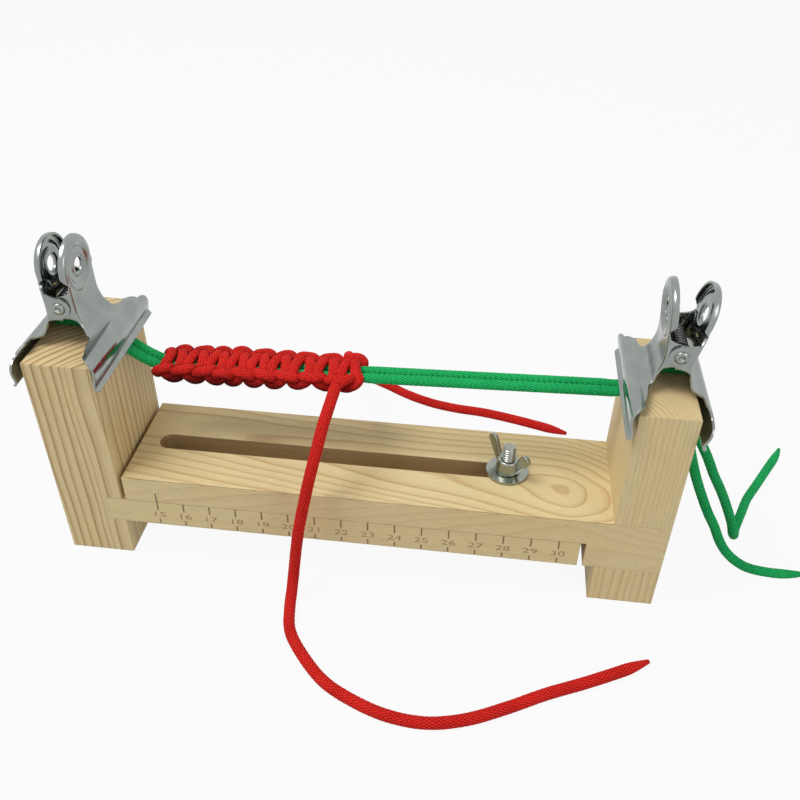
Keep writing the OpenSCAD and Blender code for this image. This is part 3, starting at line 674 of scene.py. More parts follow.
def cord_finish(name, bright, shaded_tint, seed, under=None):
    """under is a pair of heights in metres between which the colour goes from shaded to full."""
    paint = Finish(name, roughness=0.62)
    run, turn, _ = paint.axes(paint.read("UVMap", uv_map="along_cord"))
    around, slant = turn * BUNDLES, run / (2 * BUNDLE_PITCH)
    a, b = around + slant, around - slant
    on_top = (paint.math("FLOOR", a) + paint.math("FLOOR", b)) % 2.0 < 1.0
    across = on_top * a + (1.0 - on_top) * b
    arch = abs(paint.math("SINE", across * math.pi))
    fibres = paint.math("SINE", across * (FIBRES * math.pi))
    fuzz = paint.noise(paint.at, 2500.0 + seed, 3.0)
    patches = paint.noise(paint.at, 90.0 + seed)
    shade = (arch ** 0.6 + fibres * 0.07).clipped()
    shade = (shade + (fuzz - 0.5) * 0.5).clipped()
    shade = (shade + (patches - 0.5) * 0.35).clipped()
    # Painted highlight on the tops of the bundles and painted shade in the hollows between them: the ramp
    # runs from the shaded tint up to a tint brighter than the yarn.
    highlight_tint = tuple(c * 1.45 + 0.02 for c in bright)
    yarn_with_painted_light = paint.ramp(shade, [(0.15, shaded_tint), (0.6, bright), (0.95, highlight_tint)])
    if under:
        lit = ((paint.axes(paint.at)[2] - under[0]) / (under[1] - under[0])).clipped()
        yarn_with_painted_light = paint.mix(lit, toned(shaded_tint, 0.45), yarn_with_painted_light)
    height = arch + fibres * 0.12 + fuzz * 0.35
    paint.give(paint.shader, Base_Color=yarn_with_painted_light, Normal=paint.bump(height, 0.0002), Sheen_Weight=0.02,
               Sheen_Roughness=0.4, Specular_IOR_Level=0.08)
    return paint


# The second colour of each cord is a shaded copy of its yarn, used as painted shade in the hollows between
# bundles, and on the knotted bar towards its underside.
RED, SHADED_RED = colour(206, 26, 15), colour(84, 2, 4)
red_yarn = cord_finish("red_cord_yarn", RED, SHADED_RED, 1.0)
knotted_yarn = cord_finish("knotted_red_yarn", RED, SHADED_RED, 1.0, under=(0.0712, 0.0765))
green_yarn = cord_finish("green_cord_yarn", colour(20, 172, 92), colour(2, 92, 46), 2.0)
print("nodes in the red yarn:", len(red_yarn.tree.nodes))

# %% [markdown]
# ## Cutting the cords into pieces
#
# Each piece stands for one solid and moves with the body that holds it. The span between the knots and the
# right clip is the one stretch whose ends part when the left post is pulled out. In use it slips through
# the right clip. Here it is given no body, and its place is baked into its mesh. The four free ends are
# pieces that run from the cuts to the cords' ends.


def free_end(name, line, cord, cut, finish, body):
    """A free cord piece, from a cut to the nearer end of its line."""
    runs_on = cut > len(line) / 2
    first, last = (cut, len(line) - 1) if runs_on else (0, cut)
    piece = cord_piece(name, cord, [(first, last)], sealed=(-1,) if runs_on else (0,))
    path = line[first:last + 1, :3][::1 if runs_on else -1]
    seat(piece, finish, body, name.replace("end", "tail"))


seat(cord_piece("knotted_bar", red_cord, [red_cuts]), knotted_yarn, "slider", "weave")
for name, cut in zip(("red_end_front", "red_end_back"), red_cuts):
    free_end(name, red_line, red_cord, cut, red_yarn, "slider")

# %% Make the pieces of the green cord
BAR_END_X = BAR_START[0] + BAR_LENGTH - 0.4
ABOVE_TAILS_Z = 60
fold_at = int(np.argmin(green_line[:, 0]))


def crossing(x, half):
    """The point of the front or back half where the cord passes a place along the jig."""
    where = np.arange(len(green_line))
    in_half = where < fold_at if half == "front" else where > fold_at
    counts = in_half & (green_line[:, 2] > ABOVE_TAILS_Z)
    return int(np.argmin(np.where(counts, np.abs(green_line[:, 0] - x), 1e9)))


bar_front, bar_back, span_front, span_back = (
    crossing(x, half) for x in (BAR_END_X, SPAN_END_X) for half in ("front", "back"))
tail_front, tail_back = (nearest(green_line, route[0]) for route in (GREEN_FRONT, GREEN_BACK))
seat(cord_piece("core_left_cord", green_cord, [(bar_front, bar_back)]),
     green_yarn, "slider", "core_left")
core_span = seat(cord_piece("core_span_cord", green_cord, [(span_front, bar_front), (bar_back, span_back)]),
                 green_yarn, node="core_span")
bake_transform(core_span)
seat(cord_piece("core_right_cord", green_cord, [(tail_front, span_front), (span_back, tail_back)]),
     green_yarn, "base", "core_right")
for name, cut in (("green_end_front", tail_front), ("green_end_back", tail_back)):
    free_end(name, green_line, green_cord, cut, green_yarn, "base")

# %% [markdown]
# ## Pine
#
# Wood has its pattern right through, so a picture wrapped round a plank always looks wrong at the corners.
# The finish here is solid: every point asks how far it lies from the middle of the tree, and that distance
# gives its place in a yearly ring. The rings then meet at every edge by themselves, as stripes on one face
# and arches on another. Each plank has its own line through the middle of its tree. Where that line tilts
# against the plank, the rings come out on top as the long ovals that a joiner calls cathedral grain.

# %% A point's place in the tree
# How round a closing oval's tip is, and how deep the tree's middle sinks at most, in mm.
OVAL_TIP, DEEPEST = 8.0, 40.0


def place_in_tree(paint, grain, heart, tilt, close, seed):
    """How far a point lies along the tree, and beside and above its middle, in mm. heart is a point on that
    middle, and tilt its slope across the plank. close makes the middle sink away from the heart, to the
    left and to the right, so that the rings close into an oval above it."""
    at = paint.vector("SUBTRACT", paint.vector("MULTIPLY", paint.at, (1000, 1000, 1000)), heart)
    x, y, z = paint.axes(at)
    along, side, up = (x, y, z) if grain == "x" else (z, x, y)
    side, up = along * tilt[0] + side, along * tilt[1] + up
    sunk = paint.math("SQRT", along * along + OVAL_TIP**2) - OVAL_TIP
    sunk = sunk / (sunk * (1 / DEEPEST) + 1.0)
    up = sunk * ((along > 0.0) * (close[1] - close[0]) + close[0]) + up
    slow = paint.read("CombineXYZ", along * 0.012 + seed, side * 0.045, up * 0.045)
    drift = paint.axes(paint.noise(slow, 1.0, out="Color"))
    return along, (drift[0] - 0.5) * 5.0 + side, (drift[1] - 0.5) * 5.0 + up, slow


def late_wood(paint, side, up, ring, seed):
    """0 in a year's soft spring wood, rising to 1 in its dark late wood. ring is a year's width in mm."""
    radius = paint.vector("LENGTH", paint.read("CombineXYZ", 0.0, side, up), out="Value")
    uneven = paint.noise(paint.read("CombineXYZ", radius * 0.11, seed, 0.0), 1.0)
    year = (uneven - 0.5) * 2.2 + radius / ring
    depth = paint.noise(paint.read("CombineXYZ", paint.math("FLOOR", year), seed, 3.0), 1.7, 0.0)
    late = paint.ramp(paint.math("FRACT", year), [
        (0.0, 0.25), (0.06, 0.0), (0.5, 0.06), (0.78, 0.4), (0.93, 1.0), (1.0, 0.55)])
    return late * (depth * 1.1 + 0.25)


# %% Pine finish
PALE, LINE = colour(234, 216, 168), colour(182, 142, 92)
# The first colour is painted shade inside the slot, the second the real burnt brown of the scale's grooves.
SLOT_SHADE_BROWN, CHAR_BROWN = colour(126, 86, 44), colour(92, 60, 34)
# Half the slot's width and the plank's top, and the bottom of the scale's grooves, in metres.
SLOT_HALF, SLOT_BELOW = 0.0044, 0.0391
GROOVE_Y, GROOVE_REACH = -0.0228, 0.00015


def pine_finish(name, grain, heart, tilt, ring, line, contrast, seed,
                burnt=False, slot_shaded=False, close=(0.0, 0.0)):
    """grain is the plank's long direction. burnt is for planks with a fainter front face, whose grooves are
    browned. The flag after burnt is for the plank whose slot gets painted shade inside."""
    paint = Finish(name, roughness=0.55)
    along, side, up, slow = place_in_tree(paint, grain, heart, tilt, close, seed)
    late = late_wood(paint, side, up, ring, seed)
    fibre = paint.noise(paint.read("CombineXYZ", along * 0.035, side, up), 2.6, 3.0, 0.6)
    pore = paint.noise(paint.read("CombineXYZ", along * 0.09, side, up), 4.5, 1.0)
    pore = paint.ramp(pore, [(0.66, 0.0), (0.76, 1.0)])
    facing = paint.axes(paint.read("TexCoord", out="Normal"))
    end_grain = abs(facing[0 if grain == "x" else 2]) > 0.7
    tone = (late * (end_grain * 0.35 + contrast)).clipped()
    if burnt:
        tone = tone * ((facing[1] < -0.7) * -0.7 + 1.0)
    wood = paint.mix(tone, PALE, line)
    warm = paint.mix(tone, toned(PALE, 1.0, 0.9, 0.72), line)
    wood = paint.mix(paint.noise(slow, 2.3) * 0.7, wood, warm)
    wood = paint.mix((fibre - 0.35).clipped() * 0.42, wood, toned(line, 0.62))
    wood = paint.mix(pore * 0.22, wood, toned(line, 0.55))
    wood = paint.mix(end_grain * 0.10, wood, toned(line, 0.8))
    _, depth_in, height_in = paint.axes(paint.at)
    if slot_shaded:
        # Painted shade inside the slot: its walls go brown.
        slot_shade_mask = paint.math("COMPARE", depth_in, 0.0, SLOT_HALF) * (height_in < SLOT_BELOW)
        wood = paint.mix(slot_shade_mask * 0.65, wood, SLOT_SHADE_BROWN)
    if burnt:
        groove = paint.math("COMPARE", depth_in, GROOVE_Y, GROOVE_REACH)
        wood = paint.mix(groove * (paint.noise(paint.at, 1800.0) * 0.5 + 0.45), wood, CHAR_BROWN)
    eased = paint.read("Bevel", Radius=0.0006, samples=6)
    relief = fibre * 0.6 + late * 0.5 + pore * -0.5
    paint.give(paint.shader, Base_Color=wood, Roughness=late * -0.12 + 0.58, Specular_IOR_Level=0.35,
               Normal=paint.bump(relief, 0.00012, Normal=eased))
    return paint


# %% Finish the five planks
wear(nodes["upper_plank"], pine_finish("upper_plank_pine", "x", (75.7, -7.3, 27.0), (0.11, 0.0), 2.6,
                                       colour(184, 138, 86), 0.72, 3.0, True, True, (0.3, 0.7)))
wear(nodes["slider_plank"], pine_finish("slider_pine", "x", (0.0, 20.0, -70.0), (0.0, 0.01), 3.6,
                                        LINE, 0.15, 7.0, burnt=True))
wear(nodes["left_post"], pine_finish("left_post_pine", "z", (-31.0, -70.0, 60.0), (0.01, 0.0), 2.7,
                                     colour(168, 124, 76), 0.9, 11.0))
wear(nodes["right_post"], pine_finish("right_post_pine", "z", (40.0, -60.0, 60.0), (0.01, 0.0), 1.4,
                                      LINE, 0.28, 17.0))
wear(nodes["right_foot"], pine_finish("foot_pine", "z", (30.0, -60.0, 10.0), (0.0, 0.0), 2.2,
                                      LINE, 0.6, 23.0))
print("planks finished")

# %% [markdown]
# ## The scale's figures
#
# The centimetre scale is burnt into the slider's front face. Its lines are grooves in the solid, and the
# pine finish browns the bottom of each groove. The figures between the lines would need a very fine cut, so
# they are made from a plain letter shape, lie on the face as a film thinner than paper, and get the same
# burnt brown.

# %% Figures from 15 to 30
FIGURE_HEIGHT, FIGURE_STRETCH, FIGURE_THINNED = 2.6, 1.6, -0.05
LETTER_SIZE_PER_HEIGHT = 1.38
FILM, FILM_OFF = 0.01, 0.012
FIRST_MARK_X, MARK_PITCH = -74.6, 10.0
FIRST_FIGURE, MARKS = 15, 16
FIGURE_MIDDLE_Z, FRONT_Y = 22.0, -23.0

burn = Finish("burnt_figures", roughness=0.7)
burn_tone = burn.noise(burn.at, 1500.0, 3.0)
browned = burn.ramp(burn_tone, [(0.3, colour(118, 84, 52)), (0.7, colour(170, 136, 92))])
burn.give(burn.shader, Base_Color=browned, Normal=burn.bump(burn_tone, 0.00004))


def evaluated(thing):
    """The mesh that an object comes to, with its modifiers or as letters."""
    return bpy.data.meshes.new_from_object(thing.evaluated_get(bpy.context.evaluated_depsgraph_get()))


figure_parts = []
for mark in range(MARKS):
    letters = bpy.data.curves.new("figure", "FONT")
    letters.body = str(FIRST_FIGURE + mark)
    letters.size = FIGURE_HEIGHT * LETTER_SIZE_PER_HEIGHT
    letters.align_x = letters.align_y = "CENTER"
    letters.offset, letters.extrude, letters.resolution_u = FIGURE_THINNED, FILM, 4
    holder = linked("figure", letters)
    bpy.context.view_layer.update()
    shape = evaluated(holder)
    points = [(FIRST_MARK_X + mark * MARK_PITCH + v.co.x * FIGURE_STRETCH, FRONT_Y - FILM_OFF - v.co.z,
               FIGURE_MIDDLE_Z + v.co.y) for v in shape.vertices]
    figure_parts.append((points, [tuple(face.vertices) for face in shape.polygons]))
    bpy.data.objects.remove(holder)
    bpy.data.curves.remove(letters)
    bpy.data.meshes.remove(shape)
figures = seat(new_piece("scale_figures", *joined(figure_parts)), burn, "slider")
figures.data.shade_flat()
print("figures:", MARKS)

# %% [markdown]
# ## Bright steel
#
# The clips are nickel plated sheet, the bolt, nut, washer and screws are zinc plated. Both are metals, so
# their colour comes almost wholly from what they mirror. Only three things make them look real: a roughness
# that wanders a little, a faint unevenness from pressing, and fine rubbed lines.

# %% Steel finishes
def steel_finish(name, tint, rough, waviness, rub):
    """waviness and rub are the strengths of the pressed unevenness and of the rubbed lines."""
    paint = Finish(name, roughness=rough, metallic=1.0)
    stain = paint.noise(paint.at, 180.0, 4.0)
    rubbed = paint.bump(paint.noise(paint.at, 2600.0), 0.00002, rub)
    wavy = paint.bump(paint.noise(paint.at, 95.0), 0.0006, waviness, Normal=rubbed)
    paint.give(paint.shader, Base_Color=paint.mix(stain * 0.7, tint, toned(tint, 0.5)),
               Roughness=stain * 0.16 + (rough - 0.06), Normal=wavy)
    return paint


nickel = steel_finish("clip_nickel", colour(160, 166, 162), 0.19, 0.5, 0.4)
zinc = steel_finish("zinc_plate", colour(170, 174, 164), 0.24, 0.2, 0.5)
wire = steel_finish("spring_wire", colour(120, 122, 120), 0.2, 0.1, 0.4)
for name in ("flat_washer", "right_screws", "left_screws"):
    wear(nodes[name], zinc)
print("steel finishes:", nickel.material.name, zinc.material.name, wire.material.name)

# %% [markdown]
# ## Clip jaws
#
# Each jaw is one blank of sheet steel, bent in a press: a wide plate that swells out and turns in to grip, a
# narrow neck, two ears folded back round the pin, and a round finger loop with its rim turned in. The mesh
# is made the same way. The flat blank is filled with points and triangles, every point is then bent by the
# same few rules, and a Solidify modifier gives the sheet its thickness. Bending a blank keeps the sheet even
# at every fold, which no joining of separate shapes would.

# %% Sizes of a jaw, in its own frame: pin along Y, sheet on the X side
SHEET, JAW_WIDTH = 0.8, 51.6
NECK_OUT, FLARE = 4.3, math.tan(math.radians(10))
LOOP_RISE, LOOP_R, HOLE_R = 10.6, 10.0, 2.7
ARCH_DROP, ARCH_R, EYE_R, PIN_R = 11.2, 6.6, 3.9, 1.55
SECTION_KEYS = [
    (8.285, 22.6), (6.6, 13.0), (4.988, 3.9), (4.1, -3.0), (4.9, -8.1), (6.0, -11.6), (8.6, -13.0),
    (10.9, -13.5), (12.1, -15.8), (11.8, -18.7), (10.9, -21.3), (10.4, -22.7), (10.7, -24.0), (11.7, -25.1),
]
inner_face = spaced(rounded(SECTION_KEYS, 12), 0.25)
normal = np.gradient(inner_face, axis=0)
normal = np.stack([-normal[:, 1], normal[:, 0]], 1)
normal /= np.linalg.norm(normal, axis=1)[:, None]
middle_face = inner_face + normal * SHEET / 2
sheet_run = run_length(middle_face)
SHEET_END = float(sheet_run[-1])


def run_at(z):
    """Distance down the sheet at which it has come to a height."""
    return float(np.interp(-z, -middle_face[:, 1], sheet_run))


def run_at_x(x):
    """Distance down the sheet at which the plate's upper edge has swung out to x."""
    shelf = (sheet_run > run_at(-11.0)) & (sheet_run < run_at(-14.5))
    return float(np.interp(x, middle_face[shelf, 0], sheet_run[shelf]))


print("blank:", round(SHEET_END, 1), "by", JAW_WIDTH, "mm")

# %% Outline of half a flat blank, in (across, down the sheet)
FOLD_R = 1.0
RIM_START, RIM_BEND, RIM_WALL = 9.0, 1.0, 1.0
RIM_REACH = RIM_START + RIM_BEND * math.pi / 2 + RIM_WALL
RIM_FULL, RIM_GONE = 4.0, 20.0
EAR_TOP = 4.9
LOOP_RUN = run_at(LOOP_RISE)


def turn_of(x, y, start, stop, r, count):
    """Points of a round stretch."""
    a = np.radians(np.linspace(start, stop, count))
    return [(x + r * math.cos(v), y + r * math.sin(v)) for v in a]


def blank_half(half_neck, shelf_from, shelf_to, corner_r):
    """Half of the outline, from the top of the loop round to the middle of the lip, the pin's hole, and
    where the ear's fold starts and ends."""
    fold_from = half_neck - SHEET / 2 - FOLD_R
    ear_from = fold_from + FOLD_R * math.pi / 2

    def ear(x, z):
        """Where a point of the folded ear, given from the pin, lies on the flat blank."""
        sheet_x = float(np.interp(run_at(z), sheet_run, middle_face[:, 0]))
        return (ear_from + sheet_x - x - FOLD_R, run_at(z))

    def round_pin(r, angles):
        return [ear(r * math.cos(a), r * math.sin(a)) for a in angles]

    loop = []
    for a in np.linspace(-90, RIM_GONE, 48):
        fade = min(max((RIM_GONE - a) / (RIM_GONE - RIM_FULL), 0), 1)
        loop += turn_of(0, LOOP_RUN, a, a, LOOP_R + (RIM_REACH - LOOP_R) * fade, 1)
    loop[0] = (0.0, loop[0][1])
    neck = [(half_neck, run_at(EAR_TOP)), ear(NECK_OUT - 0.8, EAR_TOP - 0.5)]
    eye = round_pin(EYE_R, np.radians(np.arange(80, 260, 10)))
    arch = [ear(x, -ARCH_DROP + math.sqrt(ARCH_R**2 - x**2)) for x in np.linspace(-1.0, NECK_OUT - 0.4, 9)]
    neck_foot = rounded([
        (fold_from + 1.2, run_at(-6.8)), (half_neck, run_at(-8.0)), (half_neck + 0.3, run_at(-10.4)),
        (half_neck + 1.6, shelf_from - 0.9), (half_neck + 3.6, shelf_from - 0.2), (half_neck + 6, shelf_from),
    ], 5).tolist()
    wide = JAW_WIDTH / 2 - corner_r
    shelf = [(half_neck + 6 + (wide - half_neck - 6) * k / 6, shelf_from + (shelf_to - shelf_from) * k / 6)
             for k in range(1, 6)]
    corner = turn_of(wide, shelf_to + corner_r, -90, 0, corner_r, 12)
    end = [(JAW_WIDTH / 2, s) for s in np.linspace(corner[-1][1] + 0.8, SHEET_END - 1.2, 12)]
    lip = turn_of(JAW_WIDTH / 2 - 1.0, SHEET_END - 1.0, 0, 90, 1.0, 5)
    lip += [(t, SHEET_END) for t in np.linspace(JAW_WIDTH / 2 - 2, 0, 30)]
    hole = round_pin(PIN_R, np.linspace(0, 2 * math.pi, 24, endpoint=False))
    return loop + neck + eye + arch + neck_foot + shelf + corner + end + lip, hole, fold_from, ear_from


# %% Inside an outline, and how far from it
def is_inside(points, outline):
    """Which points lie inside a closed outline."""
    p, o = np.array(points), np.array(outline)
    q = np.roll(o, -1, 0)
    crossed = (o[None, :, 1] > p[:, None, 1]) != (q[None, :, 1] > p[:, None, 1])
    rise = np.where(q[:, 1] == o[:, 1], 1e-9, q[:, 1] - o[:, 1])
    left = p[:, None, 0] < (q[:, 0] - o[:, 0]) / rise * (p[:, None, 1] - o[:, 1]) + o[:, 0]
    return (crossed & left).sum(1) % 2 == 1


def to_outline(points, outline):
    """Distance of each point from a closed outline."""
    p, o = np.array(points)[:, None], np.array(outline)
    d = np.roll(o, -1, 0) - o
    t = np.clip(((p - o) * d).sum(-1) / np.maximum((d * d).sum(-1), 1e-12), 0, 1)
    return np.linalg.norm(p - o - t[..., None] * d, axis=-1).min(1)


def is_sheet(points, outline, *holes):
    """Which points lie on the blank, and not in one of its holes."""
    return is_inside(points, outline) & ~np.any([is_inside(points, hole) for hole in holes], 0)


# %% Fill the blank with points and triangles
GRID_ACROSS, GRID_EAR, GRID_DOWN = 0.9, 0.6, 0.45
EDGE_CLEAR = 0.16


def flat_blank(half_neck, far_end, near_end):
    """Points and triangles of the whole flat blank, and where its ears' folds start."""
    half, hole, fold_from, ear_from = blank_half(half_neck, *far_end)
    near_half = blank_half(half_neck, *near_end)[0]
    outline = half + [(-t, s) for t, s in near_half[-2:0:-1]]
    rings = [outline, hole, [(-t, s) for t, s in hole], turn_of(0, LOOP_RUN, 0, 352.5, HOLE_R, 48)]
    across = np.unique(np.round(np.r_[
        np.arange(0, JAW_WIDTH / 2, GRID_ACROSS), np.linspace(fold_from, ear_from, 6),
        np.arange(ear_from, ear_from + 9, GRID_EAR)], 3))
    across = across[np.r_[True, np.diff(across) > 0.2]]
    across = np.r_[-across[:0:-1], across]
    grid = np.array([(t, s) for s in np.arange(0.4, SHEET_END, GRID_DOWN) for t in across])
    grid = grid[np.hypot(grid[:, 0], grid[:, 1] - LOOP_RUN) > RIM_REACH + 0.3]
    radii = np.r_[np.arange(HOLE_R + 0.35, RIM_START, 0.45), np.linspace(RIM_START, RIM_REACH - 0.25, 8)]
    polar = np.array([(r * math.cos(a), LOOP_RUN + r * math.sin(a))
                      for r in radii for a in np.linspace(0, 2 * math.pi, 84, endpoint=False)])
    fill = np.vstack([grid, polar])
    fill = fill[is_sheet(fill, *rings) & (np.min([to_outline(fill, ring) for ring in rings], 0) > EDGE_CLEAR)]
    points, edges = [], []
    for ring in rings:
        n = len(points)
        points += ring
        edges += [(n + i, n + (i + 1) % len(ring)) for i in range(len(ring))]
    points += fill.tolist()
    out, _, faces, *_ = delaunay_2d_cdt([Vector(p) for p in points], edges, [], 0, 1e-5)
    out, faces = np.array([tuple(p) for p in out]), np.array([tuple(f) for f in faces])
    return out, faces[is_sheet(out[faces].mean(1), *rings)], fold_from


# %% Bend the blank
# The steps pressed round the loop's hole, as (height, radius, over what width), and the groove outside them.
DISHES = ((0.75, 7.3, 1.2), (-0.5, 4.2, 1.0))
BEAD_DEPTH, BEAD_R, BEAD_WIDTH = 0.35, 8.1, 0.45
# Heights where the ears' fold is gone and where it is full, above and below the pin.
FOLD_ABOVE, FOLD_BELOW = (7.6, 5.3), (-10.2, -6.8)


def eased_step(x):
    """Runs from 0 to 1 with a soft start and a soft end."""
    x = np.clip(x, 0, 1)
    return x * x * (3 - 2 * x)


def fades_in(run, gone, full):
    """0 to 1 down the sheet, between the heights where something is gone and where it is full."""
    return eased_step((run - run_at(gone)) / (run_at(full) - run_at(gone)))


def quarter_turn(length, r):
    """How far a strip reaches forward and to the side when it is bent through a quarter turn at its foot."""
    bend = np.minimum(length / r, math.pi / 2)
    straight = np.maximum(length - r * math.pi / 2, 0)
    return r * np.sin(bend), r * (1 - np.cos(bend)) + straight


def bent(points, fold_from):
    """Where each point of the flat blank goes when the loop's rim and the ears are turned."""
    t, s = points.T.copy()
    sign = np.sign(t)
    rho = np.hypot(t, s - LOOP_RUN)
    angle = np.degrees(np.arctan2(s - LOOP_RUN, np.abs(t)))
    rim = eased_step((RIM_GONE - angle) / (RIM_GONE - RIM_FULL)) * (rho > RIM_START)
    forward, sideways = quarter_turn(np.maximum(rho - RIM_START, 0), RIM_BEND)
    r = rho + rim * (RIM_START + forward - rho)
    near_loop = rho < RIM_REACH + 0.2
    dish = sum(height * eased_step((edge - rho) / width) for height, edge, width in DISHES)
    dish = dish - BEAD_DEPTH * np.exp(-((rho - BEAD_R) / BEAD_WIDTH) ** 2)
    inward = np.where(near_loop, rim * sideways + dish, 0)
    scale = np.where(near_loop, r / np.maximum(rho, 1e-6), 1)
    t, s = t * scale, LOOP_RUN + (s - LOOP_RUN) * scale
    x, z, nx, nz = (np.interp(s, sheet_run, column) for column in (*middle_face.T, *normal.T))
    x, z = x - inward * nx, z - inward * nz
    ear = fades_in(points[:, 1], *FOLD_ABOVE) * fades_in(points[:, 1], *FOLD_BELOW)
    forward, sideways = quarter_turn(np.maximum(np.abs(t) - fold_from, 0), FOLD_R)
    y = np.abs(t) + ear * (np.minimum(np.abs(t), fold_from) + forward - np.abs(t))
    return np.stack([x - ear * sideways, sign * y, z], 1)


# %% Helpers for modifiers
def modified(piece, kind, **settings):
    """Puts a modifier on a piece."""
    modifier = piece.modifiers.new(kind.lower(), kind)
    for key, value in settings.items():
        setattr(modifier, key, value)


def applied(piece):
    """Turns a piece's modifiers into mesh, and smooths its shading."""
    mesh = evaluated(piece)
    piece.modifiers.clear()
    piece.data = mesh
    mesh.shade_smooth()
    return mesh


# %% Make the four jaws
PIN_Z = 103.3
PIN_X = {"left": -101.25, "right": 104.905}
# One end of a jaw's plate: where its upper edge starts and ends, and how round its corner is.
NARROW_END = (run_at_x(8.4), run_at(-14.3), 6.5)
WIDE_END = (run_at_x(7.6), run_at_x(8.8), 5.0)
THIN_END = (run_at_x(10.2), run_at(-15.6), 5.0)
BLANKS = {"inner": (9.9, NARROW_END, WIDE_END), "outer": (10.9, THIN_END, THIN_END)}
# For each jaw, the side of the pin that it lies on and how far it is turned out.
JAWS = {("left", "inner"): (1, 9.627), ("left", "outer"): (-1, 6.627),
        ("right", "inner"): (-1, 6.239), ("right", "outer"): (1, -2.761)}
SHARP = math.radians(50)


def turned(x, z, clip, side, angle):
    """From a jaw's own frame to the jig's."""
    a = math.radians(angle)
    return (PIN_X[clip] + side * (x * math.cos(a) - z * math.sin(a)),
            PIN_Z + (z * math.cos(a) + x * math.sin(a)))


for (clip, jaw), (side, angle) in JAWS.items():
    flat, faces, fold_from = flat_blank(*BLANKS[jaw])
    p = bent(flat, fold_from)
    x, z = turned(p[:, 0], p[:, 2], clip, side, angle)
    piece = new_piece(f"{clip}_clip_{jaw}_sheet", np.stack([x, p[:, 1], z], 1), faces.tolist())
    modified(piece, "SOLIDIFY", thickness=SHEET * MM, offset=0, use_even_offset=True,
             use_quality_normals=True)
    modified(piece, "BEVEL", width=0.16 * MM, segments=2, limit_method="ANGLE", angle_limit=SHARP)
    applied(piece).set_sharp_from_angle(angle=SHARP)
    seat(piece, nickel, f"{clip}_{jaw}", f"{clip}_clip_{jaw}_jaw")
    print(piece.name, len(piece.data.polygons), "faces")

# %% [markdown]
# ## Clip springs
#
# A wire is wound round each pin and its two ends press the jaws apart. When a jaw opens, its end of the wire
# goes with it, so the coil and the two legs are separate pieces: the coil stays with the pin, and each leg
# rides on its own jaw. They meet beside the pin, where a small turn of the leg doesn't show.

# %% Springs
WIRE_R, WIRE_SIDES = 0.45, 12
COIL_R, COIL_TURNS, COIL_PITCH, COIL_STEPS = 2.45, 8.5, 1.5, 24
LEG_RISE, LEG_CLEAR = 7.6, 0.2
# Where the hook at a leg's end stops being square, and its knee, as (back from the sheet, down along it).
HOOK, KNEE = (0.99, 0), (1.71, 0.81)
LEG_FOOT = np.array([COIL_R, 1.2])
half_coil = COIL_TURNS * COIL_PITCH / 2


def wire_piece(name, line, body, node=None):
    """A round wire along a line."""
    line = np.array(line, float)
    u, v = sides_along(line)
    angle = (2 * np.pi * np.arange(WIRE_SIDES) / WIRE_SIDES)[:, None]
    rings = line[:, None] + WIRE_R * (np.cos(angle) * u[:, None] + np.sin(angle) * v[:, None])
    piece = new_piece(name, rings.reshape(-1, 3), tube_faces(len(line), WIRE_SIDES))
    return seat(piece, wire, body, node)


def leg_line(clip, side, angle):
    """From the jaw that a leg presses on down to the coil."""
    a = math.radians(angle)

    def own(back, drop):
        """A place beside the jaw, so far back from the sheet and so far down along it."""
        x = NECK_OUT + FLARE * LEG_RISE - LEG_CLEAR - back
        z = LEG_RISE - FLARE * back - drop
        return np.array([x * math.cos(a) - z * math.sin(a), z * math.cos(a) + x * math.sin(a)])

    knee = own(*KNEE)
    keys = [own(0, 0), own(*HOOK), knee, (2 * knee + LEG_FOOT) / 3, (knee + 2 * LEG_FOOT) / 3, LEG_FOOT,
            (COIL_R, 0.0)]
    return rounded([(PIN_X[clip] + side * x, side * half_coil, PIN_Z + z) for x, z in keys], 5)


steps = np.arange(int(COIL_TURNS * COIL_STEPS) + 1)
phi = np.pi + steps * 2 * np.pi / COIL_STEPS
for clip, pin_x in PIN_X.items():
    coil = np.stack([pin_x + COIL_R * np.cos(phi), -half_coil + steps * COIL_PITCH / COIL_STEPS,
                     PIN_Z + COIL_R * np.sin(phi)], 1)
    wire_piece(f"{clip}_clip_spring_coil", coil, f"{clip}_clip", f"{clip}_clip_spring")
    for side, angle, jaw in sorted((*JAWS[key], key[1]) for key in JAWS if key[0] == clip):
        which = "minus" if side < 0 else "plus"
        wire_piece(f"{clip}_clip_spring_leg_{which}", leg_line(clip, side, angle), f"{clip}_{jaw}")
print("springs wound, turns:", COIL_TURNS)

# %% [markdown]
# ## Rivets
#
# A hollow rivet holds each clip together. Its ends are rolled over the outer ears, which leaves a round lip
# with a hollow in its middle. That is a shape from a lathe: a short profile, turned about the pin's line.
# Its length and its heads come from the solid's own box, so that it can't stand out of the ears.

# %% Rivets that the jaws turn on
def lathed(profile, sides, ring=False):
    """Points and faces of a shape turned on a lathe, from (radius, height) pairs, with closed ends or as a
    ring whose profile is closed in itself."""
    a = 2 * np.pi * np.arange(sides) / sides
    points = [(r * math.cos(x), r * math.sin(x), z) for r, z in profile for x in a]
    return points, tube_faces(len(profile), sides, ring)


